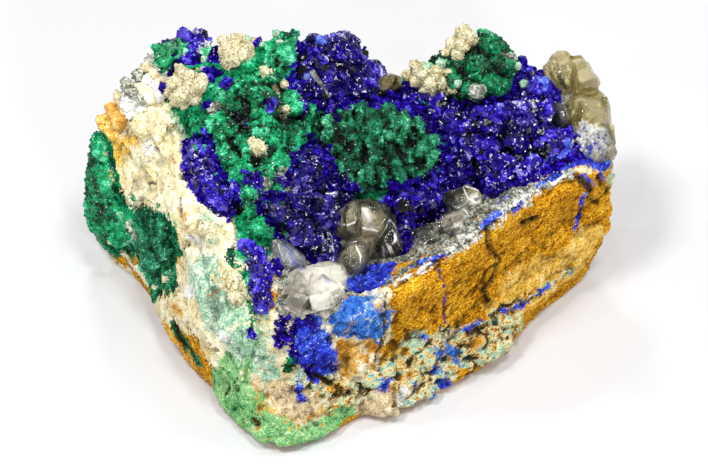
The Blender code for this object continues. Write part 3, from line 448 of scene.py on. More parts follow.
        areas(((333, 324), (345, 308), (352, 300), (366, 297), (380, 302), (384, 318), (378, 335),
            (372, 345), (364, 338), (356, 334), (345, 331), (336, 329))),
        lines(5, ((446, 345), (456, 362))),
        lines(3, ((433, 348), (438, 355)), ((429, 366), (434, 370)), ((384, 326), (378, 348))),
        lines(2.5, ((432, 392), (444, 374))),
    ),
    "powder": (
        areas(((300, 320), (318, 320), (322, 328), (330, 342), (335, 352), (333, 366), (320, 371),
            (312, 374), (302, 360), (294, 348), (292, 338), (296, 328)), ((348, 278), (356, 270), (372, 269),
            (384, 265), (392, 267), (392, 276), (384, 282), (378, 289), (362, 293), (352, 289)), ((570, 156),
            (584, 148), (604, 146), (610, 158), (604, 164), (574, 166)), ((542, 168), (548, 158), (560, 150),
            (574, 144), (580, 152), (566, 166), (552, 174))),
        lines(8, ((543, 79), (544, 82))),
        lines(7, ((384, 383), (384, 386)), ((314, 44), (322, 40))),
        lines(6, ((354, 284), (368, 277), (388, 271)), ((297, 84), (306, 82))),
        lines(5, ((413, 267), (424, 261)), ((498, 205), (508, 200)), ((546, 170), (562, 164)), ((376, 268),
            (388, 266)), ((602, 142), (606, 158))),
        lines(4.5, ((484, 225), (499, 214))),
        lines(3.5, ((434, 260), (444, 255)), ((512, 212), (522, 202))),
        lines(3.2, ((582, 192), (579, 206), (575, 217), (572, 229))),
        lines(3, ((540, 184), (552, 176)), ((501, 312), (527, 303)), ((419, 334), (421, 336)), ((584, 156),
            (590, 152)), ((540, 184), (560, 174))),
        lines(2.5, ((296, 374), (297, 385), (302, 400)), ((588, 150), (592, 162)), ((600, 146), (606, 158)),
            ((530, 296), (551, 285)), ((441, 388), (450, 383)), ((584, 176), (590, 184))),
        lines(2, ((452, 333), (470, 327), (481, 321)), ((412, 384), (416, 392)), ((600, 172), (604, 180))),
    ),
    "azure": (
        lines(7, ((226, 78), (229, 80))),
        lines(5.5, ((158, 70), (166, 74))),
        lines(5, ((251, 178), (256, 184)), ((187, 148), (188, 156))),
        lines(4.5, ((240, 116), (243, 118)), ((283, 320), (280, 344)), ((248, 334), (255, 337)), ((276, 270),
            (290, 270))),
        lines(4, ((204, 106), (209, 104)), ((305, 106), (304, 128), (314, 142)), ((229, 216), (231, 218)),
            ((188, 44), (198, 38), (210, 42)), ((283, 180), (294, 186)), ((242, 30), (256, 44)), ((211, 72),
            (212, 80))),
        lines(3, ((266, 104), (267, 106)), ((296, 322), (290, 340), (296, 356)), ((109, 154), (110, 170))),
        lines(2.5, ((306, 322), (318, 326)), ((302, 364), (312, 372))),
        lines(2.4, ((515, 50), (522, 62))),
    ),
    "brown": (
        areas(((337, 344), (347, 340), (356, 350), (357, 366), (348, 374), (339, 364))),
        lines(5, ((366, 342), (377, 350)), ((344, 342), (352, 346)), ((168, 304), (180, 314))),
        lines(4.5, ((362, 356), (373, 366))),
        lines(4, ((482, 340), (474, 346))),
        lines(3.5, ((164, 322), (178, 347), (192, 363), (211, 379))),
        lines(3, ((396, 384), (410, 372))),
        lines(2.5, ((352, 322), (346, 332)), ((374, 304), (382, 312))),
        lines(2, ((340, 302), (350, 294)), ((179, 200), (184, 210), (188, 218))),
        lines(1.2, ((206, 296), (214, 292), (222, 286)), ((252, 384), (262, 402), (282, 418), (306, 420),
            (322, 409))),
    ),
    # Dark marks, partly dark minerals and partly painted shade in cracks, pits and under ledges.
    "dark": (
        lines(4, ((578, 177), (590, 190))),
        lines(3.5, ((598, 178), (606, 190)), ((520, 222), (534, 217))),
        lines(3, ((172, 318), (182, 340), (194, 356)), ((253, 420), (258, 424))),
        lines(2.6, ((487, 228), (488, 243), (493, 253), (498, 261), (491, 276))),
        lines(2.5, ((584, 196), (596, 202)), ((466, 334), (486, 326)), ((316, 374), (330, 384))),
        lines(2, ((562, 178), (576, 174)), ((334, 396), (352, 392)), ((225, 394), (234, 380))),
        lines(1.8, ((491, 276), (484, 290), (487, 300))),
        lines(1.6, ((151, 183), (158, 184)), ((393, 386), (394, 406), (400, 410))),
        lines(1.5, ((486, 274), (497, 262)), ((440, 264), (436, 270))),
        lines(1.4, ((384, 294), (386, 310), (384, 334), (376, 360))),
        lines(1.3, ((383, 294), (402, 281), (430, 267), (450, 254), (470, 240), (490, 226), (505, 215),
            (520, 204), (545, 188), (575, 180))),
        lines(1.2, ((178, 198), (184, 214))),
    ),
    "vein": (
        lines(1.7, ((440, 270), (443, 282), (446, 298), (442, 310), (446, 324))),
        lines(1.2, ((586, 184), (592, 196))),
    ),
}

RELIEF_LAYERS = ("streaks", "raised")

# Each kind of surface: colours from its darkest to its lightest grain, the share of fine, middle and large
# grains, how far its edge wanders and how soft it is, its roughness, its share of bright specks, which are
# partly white grains and partly painted glints, and how dark the painted shade in its hollows is.
KINDS = {
    "ochre": (
        ((0, (60, 28, 0)), (0.25, (142, 84, 2)), (0.5, (200, 136, 6)), (0.75, (222, 165, 22)),
         (1, (244, 212, 96))),
        (1, 0.2, 0.25), (0.3, 0.1), 0.85, 0, 0.25,
    ),
    "cream": (
        ((0, (160, 128, 70)), (0.2, (210, 190, 134)), (0.5, (230, 218, 174)), (0.8, (243, 236, 206)),
         (1, (255, 252, 238))),
        (0.35, 0.35, 0.4), (0.6, 0.15), 0.4, 0.05, 0.6,
    ),
    "bedding": (
        ((0, (120, 84, 20)), (0.25, (196, 144, 40)), (0.5, (222, 176, 70)), (0.75, (236, 200, 112)),
         (1, (248, 230, 170))),
        (0.6, 0.4, 0.2), (0.7, 0.3), 0.8, 0.01, 0.35,
    ),
    "mixed": (
        ((0, (34, 34, 16)), (0.22, (110, 84, 34)), (0.36, (196, 146, 60)), (0.5, (232, 216, 164)),
         (0.64, (176, 200, 166)), (0.8, (116, 176, 150)), (1, (64, 104, 176))),
        (0.15, 0.7, 0.5), (0.8, 0.2), 0.7, 0.02, 0.08,
    ),
    "foot": (
        ((0, (24, 84, 44)), (0.2, (74, 146, 84)), (0.5, (116, 176, 110)), (0.8, (152, 196, 134)),
         (1, (204, 228, 178))),
        (0.5, 0.3, 0.3), (0.5, 0.25), 0.8, 0.01, 0.3,
    ),
    "teal": (
        ((0, (60, 128, 98)), (0.3, (122, 174, 142)), (0.6, (166, 198, 170)), (1, (228, 236, 214))),
        (0.5, 0.4, 0.2), (1.4, 0.6), 0.6, 0.05, 0.5,
    ),
    "tan": (
        ((0, (126, 100, 62)), (0.3, (178, 156, 116)), (0.6, (206, 188, 148)), (1, (236, 224, 196))),
        (0.4, 0.4, 0.3), (0.7, 0.3), 0.75, 0.01, 0.4,
    ),
    "grey": (
        ((0, (50, 50, 40)), (0.3, (112, 112, 96)), (0.6, (166, 168, 152)), (1, (234, 236, 228))),
        (0.5, 0.4, 0.2), (0.7, 0.3), 0.2, 0.08, 0.25,
    ),
    "white": (
        ((0, (150, 150, 150)), (0.3, (205, 205, 200)), (0.6, (235, 235, 230)), (1, (255, 255, 252))),
        (0.5, 0.4, 0.2), (0.8, 0.2), 0.35, 0.08, 0.6,
    ),
    "tuft": (
        ((0, (120, 104, 62)), (0.3, (182, 170, 124)), (0.6, (208, 198, 158)), (1, (242, 238, 218))),
        (0.6, 0.3, 0.1), (0.5, 0.15), 0.55, 0.02, 0.45,
    ),
    "green": (
        ((0, (0, 30, 16)), (0.25, (0, 80, 46)), (0.5, (0, 134, 80)), (0.75, (14, 176, 112)),
         (1, (120, 224, 184))),
        (0.35, 0.25, 0.6), (0.7, 0.12), 0.4, 0.035, 0.02,
    ),
    "velvet": (
        ((0, (0, 26, 16)), (0.3, (4, 64, 40)), (0.55, (12, 108, 70)), (0.8, (34, 146, 100)),
         (1, (120, 204, 164))),
        (0.4, 0.35, 0.45), (0.7, 0.12), 0.6, 0.02, 0.02,
    ),
    "sky": (
        ((0, (20, 50, 130)), (0.3, (26, 80, 178)), (0.6, (58, 116, 200)), (0.85, (110, 156, 212)),
         (1, (196, 212, 220))),
        (0.4, 0.4, 0.4), (0.6, 0.15), 0.85, 0, 0.4,
    ),
    "powder": (
        ((0, (14, 8, 90)), (0.3, (32, 34, 170)), (0.6, (56, 82, 220)), (0.85, (100, 140, 230)),
         (1, (180, 208, 240))),
        (0.4, 0.4, 0.4), (0.6, 0.15), 0.7, 0.03, 0.3,
    ),
    "azure": (
        ((0, (6, 0, 34)), (0.25, (14, 0, 80)), (0.55, (28, 0, 136)), (0.8, (42, 10, 188)),
         (1, (104, 94, 236))),
        (0.3, 0.35, 0.5), (0.7, 0.12), 0.16, 0.045, 0,
    ),
    "brown": (
        ((0, (120, 72, 16)), (0.3, (184, 126, 36)), (0.6, (208, 156, 66)), (1, (236, 208, 140))),
        (0.3, 0.4, 0.3), (0.7, 0.25), 0.85, 0, 0.4,
    ),
    # Dark: partly dark minerals, partly painted shade in cracks, pits and under ledges.
    "dark": (
        ((0, (14, 12, 4)), (0.5, (56, 48, 22)), (1, (120, 96, 44))),
        (0.6, 0.3, 0.2), (0.6, 0.3), 0.9, 0, 0.5,
    ),
    "vein": (
        ((0, (40, 20, 90)), (0.5, (96, 60, 150)), (1, (150, 110, 180))),
        (0.6, 0.3, 0.2), (0.15, 0.08), 0.6, 0, 0.6,
    ),
}

# Lumps and leaves that stand out from each crust: height in millimetres, radius in pixels, then the pixels
# that they run through.
RIDGES = {
    "malachite_rosette": (
        (1.4, 5, (362, 103), (359, 115)), (1.2, 4.5, (353, 104), (349, 114)),
        (1.2, 6, (341, 106), (344, 122)), (1.3, 8, (325, 118), (329, 135)),
        (1.3, 8, (350, 122), (352, 128)), (1.5, 6, (372, 112), (374, 131)),
        (1.5, 4, (360, 137), (357, 157)), (1.4, 5.5, (337, 145), (350, 160), (357, 165)),
        (1.2, 4, (329, 165), (316, 180)), (1.3, 5, (342, 162), (341, 183)),
        (1.3, 5, (351, 172), (351, 190)), (1.4, 5.5, (361, 172), (360, 195)),
        (1.3, 5, (371, 162), (370, 181)), (1.4, 4.5, (380, 152), (374, 160)),
        (1.3, 5, (382, 171), (385, 186)), (1.5, 8, (396, 165), (401, 178)),
        (1.3, 6, (412, 169), (416, 172)), (1.6, 7, (417, 153), (426, 143), (435, 140)),
        (1.4, 6, (437, 154), (430, 163)), (1.3, 4, (410, 160), (412, 150)),
        (1.5, 6.5, (392, 108), (395, 122), (392, 137)), (1.3, 4, (385, 131), (381, 145)),
        (1.5, 6.5, (404, 114), (407, 130), (400, 139)), (1.4, 5.5, (419, 120), (421, 132)),
        (1.2, 4.5, (387, 104), (388, 107)), (1.1, 4, (402, 96), (410, 98)),
        (1.2, 4.5, (320, 111), (328, 105)), (1.1, 4.5, (314, 121), (314, 126)),
        (1.2, 4, (367, 142), (369, 146)), (1.2, 4, (333, 150), (326, 156)),
        (1.2, 4, (360, 121), (364, 128)),
    ),
    "malachite_crust": (
        (1.5, 19, (246, 92), (262, 100)), (1.4, 14, (216, 122), (224, 128)),
        (1.4, 16, (268, 128), (276, 132)), (1.4, 18, (240, 178), (252, 184)),
        (1.3, 13, (262, 222), (266, 230)), (0.9, 7, (226, 78), (228, 79)),
        (1.4, 10, (234, 255), (238, 260)), (1.2, 12, (286, 48), (290, 56)),
        (1.2, 9, (206, 172), (208, 176)), (1.2, 9, (222, 196), (226, 200)),
        (1.2, 10, (276, 212), (280, 216)), (1.3, 13, (296, 96), (298, 104)),
        (1.3, 12, (222, 150), (230, 156)), (1.2, 11, (282, 158), (288, 164)),
        (1.3, 11, (300, 128), (302, 140)), (1.2, 10, (250, 206), (254, 210)),
        (1.2, 8, (270, 72), (272, 78)), (1.1, 9, (240, 140), (248, 146)), (1, 7, (224, 216), (228, 222)),
        (1.2, 8, (298, 74), (302, 80)),
    ),
    "malachite_mound": (
        (1.4, 8, (486, 44), (492, 48)), (1.4, 12, (476, 66), (484, 72)), (1.3, 10, (500, 60), (506, 66)),
        (1.3, 9, (470, 88), (476, 92)), (1.3, 10, (494, 84), (500, 88)), (1.2, 9, (450, 76), (454, 82)),
        (0.9, 6, (523, 82), (525, 84)), (0.9, 6, (507, 58), (510, 60)),
    ),
    "azurite_right": (
        (1.2, 11, (543, 81), (545, 84)), (1.3, 12, (482, 150), (486, 154)),
        (1.3, 11, (516, 140), (520, 146)), (1.3, 12, (500, 166), (504, 172)),
        (1.2, 10, (545, 132), (549, 136)), (1.2, 9, (566, 134), (568, 140)),
        (1.3, 11, (456, 118), (462, 124)), (1.3, 12, (484, 116), (492, 122)),
        (1.2, 10, (516, 108), (522, 114)), (1.2, 10, (540, 106), (544, 110)),
        (1.2, 10, (470, 178), (474, 182)), (1.2, 9, (530, 164), (536, 168)),
        (1.2, 9, (448, 150), (452, 156)), (1.1, 9, (560, 104), (562, 110)),
    ),
    "azurite_back": (
        (1.3, 12, (318, 46), (322, 50)), (1.4, 13, (348, 56), (352, 62)), (1.2, 12, (330, 82), (336, 86)),
        (1.2, 10, (300, 56), (304, 62)), (1.2, 10, (370, 74), (376, 80)), (1.1, 9, (306, 96), (310, 100)),
        (1.2, 10, (356, 88), (362, 92)), (1.1, 9, (390, 90), (396, 94)), (1.1, 8, (340, 40), (346, 42)),
    ),
    "azurite_centre": (
        (1.3, 11, (306, 170), (310, 176)), (1.3, 12, (318, 206), (322, 212)),
        (1.3, 12, (428, 206), (434, 210)), (1.2, 10, (292, 196), (296, 202)),
        (1.2, 10, (300, 232), (306, 238)), (1.2, 10, (406, 196), (412, 200)),
        (1.2, 10, (276, 240), (280, 246)), (1.2, 9, (312, 148), (314, 154)),
        (1.2, 9, (446, 184), (450, 190)), (1.1, 8, (328, 186), (332, 190)),
    ),
    "malachite_flank": (
        (1.3, 12, (100, 176), (104, 184)), (1.3, 12, (98, 214), (104, 222)),
        (1.2, 12, (116, 232), (122, 240)), (1.2, 14, (158, 298), (164, 306)),
        (1.2, 12, (150, 264), (156, 270)), (1.1, 9, (100, 148), (104, 154)),
    ),
    "cream_crust": (
        (1, 16, (226, 326), (228, 334)), (1, 12, (206, 230), (208, 234)),
        (1.1, 12, (236, 280), (236, 292)), (1, 10, (148, 150), (152, 180)),
        (0.9, 9, (168, 196), (174, 220)), (1, 11, (232, 226), (238, 232)),
        (0.9, 9, (192, 130), (194, 160)), (0.9, 10, (136, 120), (140, 128)),
        (0.9, 10, (196, 272), (200, 292)), (0.9, 9, (186, 204), (190, 226)),
        (0.9, 8, (160, 130), (164, 150)),
    ),
}

# Small round tufts: pixel right, pixel down, radius in pixels. The second ones are pale green.
BALLS = (
    (407, 71, 5), (415, 65, 5), (423, 75, 5), (415, 81, 5), (430, 84, 6), (437, 72, 6), (443, 82, 6),
    (449, 74, 5), (434, 91, 5), (424, 89, 4), (444, 93, 4), (452, 89, 4), (452, 44, 6), (462, 45, 7),
    (470, 48, 6), (458, 54, 6), (468, 37, 7), (460, 31, 5), (446, 52, 4), (474, 40, 4), (174, 84, 7),
    (190, 76, 6), (199, 86, 7), (183, 95, 8), (202, 79, 5), (195, 99, 6), (177, 99, 7), (186, 106, 5),
    (170, 92, 5), (257, 146, 6), (252, 142, 4), (262, 149, 4), (257, 151, 4), (264, 71, 4), (284, 84, 3),
    (286, 109, 3), (222, 40, 4), (254, 34, 4),
)
PALE_BALLS = (
    (484, 88, 4), (511, 58, 5), (517, 66, 4), (401, 77, 4), (428, 67, 5), (441, 64, 5), (458, 83, 4),
    (524, 84, 4), (248, 39, 3), (276, 33, 3), (262, 45, 3), (471, 92, 3), (204, 60, 4), (196, 56, 4),
)

# Lumps of the upper left edge: kind, radius in pixels, and the pixels that they start and end at.
SHOULDER = (
    ("bedding", 9, (114, 131), (104, 120)), ("brown", 9, (122, 122), (112, 109)),
    ("tan", 8, (130, 115), (119, 98)), ("white", 8, (137, 112), (128, 102)),
    ("grey", 8, (143, 102), (129, 87)), ("cream", 7, (151, 99), (139, 88)),
    ("grey", 7, (156, 92), (139, 76)), ("tan", 7, (162, 86), (146, 67)), ("grey", 6, (165, 76), (150, 62)),
    ("white", 7, (160, 98), (147, 80)), ("green", 6, (166, 62), (157, 48)),
)


def sight_direction(pixel):
    across = (pixel[0] - PHOTO_CENTRE[0]) / PX_PER_MM
    upward = (PHOTO_CENTRE[1] - pixel[1]) / PX_PER_MM
    return Vector(-SIGHT_DISTANCE * TO_EYE + across * RIGHT + upward * UP).normalized()


def seen_at(tree, pixel):
    """The place on the tree's faces that shows at the pixel, and the normal there."""
    return tree.ray_cast(Vector(EYE), sight_direction(pixel))[:2]


def is_inside(pixel, outline):
    inside = False
    for (x0, y0), (x1, y1) in zip(outline, outline[1:] + outline[:1]):
        if (y0 > pixel[1]) != (y1 > pixel[1]) and pixel[0] < x0 + (pixel[1] - y0) / (y1 - y0) * (x1 - x0):
            inside = not inside
    return inside


def stroke_pixels(pixels, filled):
    """Pixels along the stroke, or over the patch."""
    if filled:
        across, down = (np.arange(min(side), max(side), AREA_STEP) for side in zip(*pixels))
        return [(x, y) for x in across for y in down if is_inside((x, y), pixels)]
    found = []
    for start, end in zip(pixels, pixels[1:]):
        start, end = np.array(start, float), np.array(end, float)
        count = max(1, round(float(np.linalg.norm(end - start)) / LINE_STEP))
        found += [start + (end - start) * i / count for i in range(count + 1)]
    return found


# A mask says how far inside its strokes a point lies. Its edge wanders by noise of this size and amount.
LEAST_FACING = 0.4
MASK_REACH, MASK_INSIDE, MASK_NEAR = 1.6, 1.5, -0.5
WANDER_SIZE = 1.7
MASK_WANDER = {
    "cream": 0.7, "teal": 0.9, "mixed": 0.8, "green": 0.4, "velvet": 0.4, "grey": 0.5, "tan": 0.8,
    "bedding": 0.9, "sky": 0.8, "powder": 0.5, "foot": 0.6, "white": 0.3, "brown": 0.3,
}


def anchored(tree, layers=tuple(PAINT)):
    """The strokes' points on the specimen, with their radius in millimetres."""
    anchors = {layer: [] for layer in layers}
    for layer in layers:
        for radius, pixels, filled in sum(PAINT[layer], []):
            for pixel in stroke_pixels(pixels, filled):
                place, normal = seen_at(tree, pixel)
                if place is not None:
                    facing = max(LEAST_FACING, abs(normal @ sight_direction(pixel))) if filled else 1.0
                    anchors[layer].append((place, radius / PX_PER_MM / facing))
    return anchors


def masks_at(points, layers, anchors):
    """For each layer, how far inside its strokes the points lie, in millimetres; negative outside."""
    tree = tree_of(points)
    masks = {}
    for layer in layers:
        values = np.full(len(points), -MASK_REACH)
        for place, radius in anchors[layer]:
            for _, index, distance in tree.find_range(place, radius + MASK_REACH):
                values[index] = max(values[index], radius - distance)
        if values.max() > MASK_NEAR:
            wander = MASK_WANDER.get(layer, 0.0)
            masks[layer] = values + wander * rough(points, WANDER_SIZE, len(masks) + 50) if wander else values
    return masks


# Crystal shapes: corners on a unit scale and triangles, up along Z.
def ring(half_x, half_y, height):
    return [(x * half_x, y * half_y, height) for x, y in ((-1, -1), (1, -1), (1, 1), (-1, 1))]


def closed_shape(rings, top):
    """Stacked four-cornered rings, closed at the foot, and by a ridge of two points or one tip at the top."""
    corners = sum(rings, []) + list(top)
    faces = [(0, 2, 1), (0, 3, 2)]
    for first in range(0, 4 * len(rings) - 4, 4):
        for i in range(4):
            a, b = first + i, first + (i + 1) % 4
            faces += [(a, b, b + 4), (a, b + 4, a + 4)]
    last, left = 4 * (len(rings) - 1), 4 * len(rings)
    right = left + 1
    if len(top) == 1:
        faces += [(last + i, last + (i + 1) % 4, left) for i in range(4)]
    else:
        faces += [
            (last, last + 1, right), (last, right, left), (last + 2, last + 3, left), (last + 2, left, right),
            (last + 1, last + 2, right), (last + 3, last, left),
        ]
    return np.array(corners, float), np.array(faces)


BLADE = closed_shape((ring(0.42, 0.26, -0.5), ring(0.5, 0.3, 0.35)), ((-0.3, 0.05, 0.95), (0.26, -0.05, 1.0)))
RHOMB = closed_shape((ring(0.4, 0.36, -0.4), ring(0.5, 0.42, 0.3)), ((-0.22, 0.0, 0.62), (0.2, 0.04, 0.66)))
CHIP = closed_shape((ring(0.48, 0.4, -0.2),), ((-0.22, 0.0, 0.62), (0.2, 0.04, 0.66)))
NEEDLE = closed_shape((ring(0.5, 0.4, -0.3),), ((0.1, 0.0, 1.0),))


def grown(shape, places, ups, sizes, lean, seed):
    """Copies of a crystal, each turned and tilted its own way, as points, triangles and tones."""
    random = np.random.default_rng(seed)
    corners, faces = shape
    count = len(places)
    up = unit(ups + lean * random.normal(size=(count, 3)))
    side = unit(np.cross(up, random.normal(size=(count, 3))))
    frames = np.stack((side, np.cross(up, side), up), axis=1)
    points = np.einsum("kj,nj,nji->nki", corners, sizes, frames) + places[:, None]
    triangles = faces[None] + (np.arange(count) * len(corners))[:, None, None]
    tones = np.repeat(random.uniform(0, 1, count), len(corners))
    return points.reshape(-1, 3), triangles.reshape(-1, 3), tones


def places_on(points, quads, weights, density, seed):
    """Random places on the faces, with the face's normal and number; the weights thin them out."""
    random = np.random.default_rng(seed)
    a, b, c, d = (points[quads[:, i]] for i in range(4))
    across = np.cross(c - a, d - b) / 2
    sizes = np.linalg.norm(across, axis=1)
    wanted = sizes * density * weights[quads].mean(1)
    count = int(wanted.sum())
    if count == 0:
        return np.zeros((0, 3)), np.zeros((0, 3)), np.zeros(0, int)
    drawn = random.uniform(0, wanted.sum(), count)
    chosen = np.searchsorted(np.cumsum(wanted), drawn).clip(0, len(quads) - 1)
    a, b, c, d = (side[chosen] for side in (a, b, c, d))
    u, v = random.uniform(0, 1, (2, count, 1))
    places = (a * (1 - u) + b * u) * (1 - v) + (d * (1 - u) + c * u) * v
    return places, across[chosen] / sizes[chosen, None], chosen


# Materials.
def linear(colour):
    """The linear values of a screen colour of 0 to 255."""
    shares = [c / 255 for c in colour]
    return tuple(c / 12.92 if c < 10.3 / 255 else ((c + 0.055) / 1.055) ** 2.4 for c in shares) + (1.0,)


class Nodes:
    """A material under construction."""

    def __init__(self, name):
        self.material = bpy.data.materials.new(name)
        self.material.use_nodes = True
        self.tree = self.material.node_tree
        self.shader = self.tree.nodes["Principled BSDF"]
        self.place = self.add("TexCoord").outputs["Object"]

    def add(self, kind, inputs=None, **settings):
        node = self.tree.nodes.new("ShaderNode" + kind)
        for key, value in settings.items():
            setattr(node, key, value)
        for key, value in (inputs or {}).items():
            self.put(value, node.inputs[key])
        return node

    def put(self, value, socket):
        if isinstance(value, bpy.types.NodeSocket):
            self.tree.links.new(value, socket)
        else:
            socket.default_value = value

    def shade(self, **values):
        """Sets the shader's own sockets; a name's underscores stand for spaces."""
        for key, value in values.items():
            self.put(value, self.shader.inputs[key.replace("_", " ")])

    def math(self, operation, a, b=0.0):
        return self.add("Math", {0: a, 1: b}, operation=operation).outputs[0]

    def product(self, a, b):
        return self.math("MULTIPLY", a, b)

    def total(self, first, *others):
        for other in others:
            first = self.math("ADD", first, other)
        return first

    def attribute(self, name):
        return self.add("Attribute", attribute_name=name).outputs["Fac"]

    def noise(self, size, detail):
        """Noise with three channels, each spread to about 0 to 1."""
        values = {"Vector": self.place, "Scale": 1 / (size * METRES), "Detail": detail, "Roughness": 0.6}
        split = self.add("SeparateColor", {"Color": self.add("TexNoise", values).outputs["Color"]})
        return [self.between(split.outputs[i], *NOISE_RANGE) for i in range(3)]

    def between(self, value, low, high, to_low=0.0, to_high=1.0, curve="LINEAR"):
        values = {"Value": value, "From Min": low, "From Max": high, "To Min": to_low, "To Max": to_high}
        return self.add("MapRange", values, interpolation_type=curve).outputs[0]

    def share(self, mask, soft):
        """How much of a zone shows where its mask has this value."""
        return self.between(mask, -soft, soft, curve="SMOOTHSTEP")

    def ramp(self, value, stops):
        node = self.add("ValToRGB", {"Fac": value})
        elements = node.color_ramp.elements
        while len(elements) < len(stops):
            elements.new(0.5)
        for element, (position, colour) in zip(elements, stops):
            element.position = position
            element.color = linear(colour)
        return node.outputs["Color"]

    def mix(self, share, a, b, mode="MIX"):
        return self.add("MixRGB", {"Fac": share, "Color1": a, "Color2": b}, blend_type=mode).outputs["Color"]

    def mix_values(self, share, a, b):
        if not isinstance(a, bpy.types.NodeSocket) and a == b:
            return a
        return self.add("Mix", {0: share, 2: a, 3: b}, data_type="FLOAT").outputs[0]

    def bump(self, height, strength, distance):
        values = {"Height": height, "Strength": strength, "Distance": distance * METRES}
        return self.add("Bump", values).outputs["Normal"]


NOISE_RANGE, GRAIN_RANGE = (0.3, 0.7), (0.2, 0.8)
# Size in millimetres and detail of the fine, middle and large grains.
GRAINS = ((0.26, 2.0), (0.9, 3.0), (4.0, 3.0))
# Relief spans of the painted shade in hollows and of the painted highlight on crests, and how much the
# highlight lightens.
HOLLOW_RELIEF, CREST_RELIEF, CREST_HIGHLIGHT = (-0.32, 0.06), (0.0, 0.6), (0.0, 0.14)
TONE_SHARE = 0.35
EDGE_FINE, EDGE_MIDDLE, EDGE_SPREAD = 0.55, 0.6, 1.6
BUMP_DISTANCE, CLEAR_BUMP, CLEAR_BUMP_DISTANCE, CLEAR_SHINE = 0.25, 0.5, 0.12, 0.3
LAYER_THICKNESS, LAYER_LENGTH, LAYER_DETAIL = 0.2, 0.9, 3.0
LAYERED_KINDS = {"ochre": 0.3, "bedding": 0.35, "mixed": 0.35}
# Bright specks over the colour, partly white grains and partly painted glints: cell size, radius, share and
# colour.
SPECK_CELL, SPECK_RADIUS, SPECK_SHARE, SPECK_AND_GLINT_COLOUR = 0.24, 0.42, 0.75, (240, 245, 245)


class Surface(Nodes):
    """A material of several kinds: the base kind, with the other kinds over it where their masks say."""

    def __init__(self, name, is_layered):
        super().__init__(name)
        self.fine, self.middle, self.large = (self.noise(size, detail) for size, detail in GRAINS)
        self.tone, self.relief = self.attribute("tone"), self.attribute("relief")
        # Painted shade and highlight: the colour darkens in the relief's hollows and lightens on its crests.
        self.lit = self.between(self.relief, *HOLLOW_RELIEF, curve="SMOOTHSTEP")
        self.crest_highlight = self.between(self.relief, *CREST_RELIEF, *CREST_HIGHLIGHT)
        self.thin = self.thin_layers() if is_layered else None

    def thin_layers(self):
        """Noise in the rock's thin layers."""
        sizes = (LAYER_THICKNESS, LAYER_LENGTH, LAYER_LENGTH)
        parts = {}
        for letter, axis, size in zip("XYZ", (LAYERS_ACROSS, LAYERS_ALONG, TO_EYE), sizes):
            values = {0: self.place, 1: tuple(axis / METRES / size)}
            parts[letter] = self.add("VectorMath", values, operation="DOT_PRODUCT").outputs["Value"]
        place = self.add("CombineXYZ", parts).outputs[0]
        thin = self.add("TexNoise", {"Vector": place, "Scale": 1.0, "Detail": LAYER_DETAIL}).outputs["Fac"]
        return self.between(thin, *NOISE_RANGE)

    def grain_of(self, kind, channel):
        amounts = KINDS[kind][1]
        noises = (self.fine[channel], self.middle[(channel + 1) % 3], self.large[channel])
        grain = self.total(*(self.product(found, amount) for found, amount in zip(noises, amounts)))
        grain = self.math("DIVIDE", grain, sum(amounts))
        if self.thin is not None and kind in LAYERED_KINDS:
            share = LAYERED_KINDS[kind]
            grain = self.total(self.product(grain, 1 - share), self.product(self.thin, share))
        return self.between(grain, *GRAIN_RANGE)

    def colour_of(self, kind, channel):
        """The kind's colour, from its grain and each crystal's own tone, with a painted highlight on its
        crests and painted shade in its hollows.
        """
        tone = self.product(self.math("SUBTRACT", self.tone, 0.5), TONE_SHARE)
        colour = self.ramp(self.total(self.grain_of(kind, channel), tone, self.crest_highlight), KINDS[kind][0])
        # Painted shade in the hollows, as dark as the kind's last value says.
        light = self.between(self.lit, 0.0, 1.0, KINDS[kind][5], 1.0)
        light = self.add("CombineColor", {0: light, 1: light, 2: light}).outputs[0]
        return self.mix(1.0, colour, light, "MULTIPLY")

    def share_of(self, kind, channel):
        wander, soft = KINDS[kind][2]
        finer = self.product(self.fine[(channel + 2) % 3], EDGE_FINE)
        wandering = self.total(finer, self.product(self.middle[channel], EDGE_MIDDLE))
        wandering = self.math("SUBTRACT", wandering, (EDGE_FINE + EDGE_MIDDLE) / 2)
        wandering = self.product(wandering, EDGE_SPREAD * wander)
        return self.share(self.total(self.attribute("at_" + kind), wandering), soft)

    def specks_and_glints(self, amount):
        """Bright specks, partly white grains and partly painted glints: the middles of some of the small
        cells, more of them in some places.
        """
        cells = self.add("TexVoronoi", {"Vector": self.place, "Scale": 1 / (SPECK_CELL * METRES)})
        chance = self.add("SeparateColor", {"Color": cells.outputs["Color"]}).outputs[0]
        amount = self.product(self.product(self.large[1], 2.0), amount)
        chosen = self.math("GREATER_THAN", self.total(chance, amount), 1.0)
        near = self.math("LESS_THAN", cells.outputs["Distance"], SPECK_RADIUS)
        return self.product(self.product(chosen, near), SPECK_SHARE)


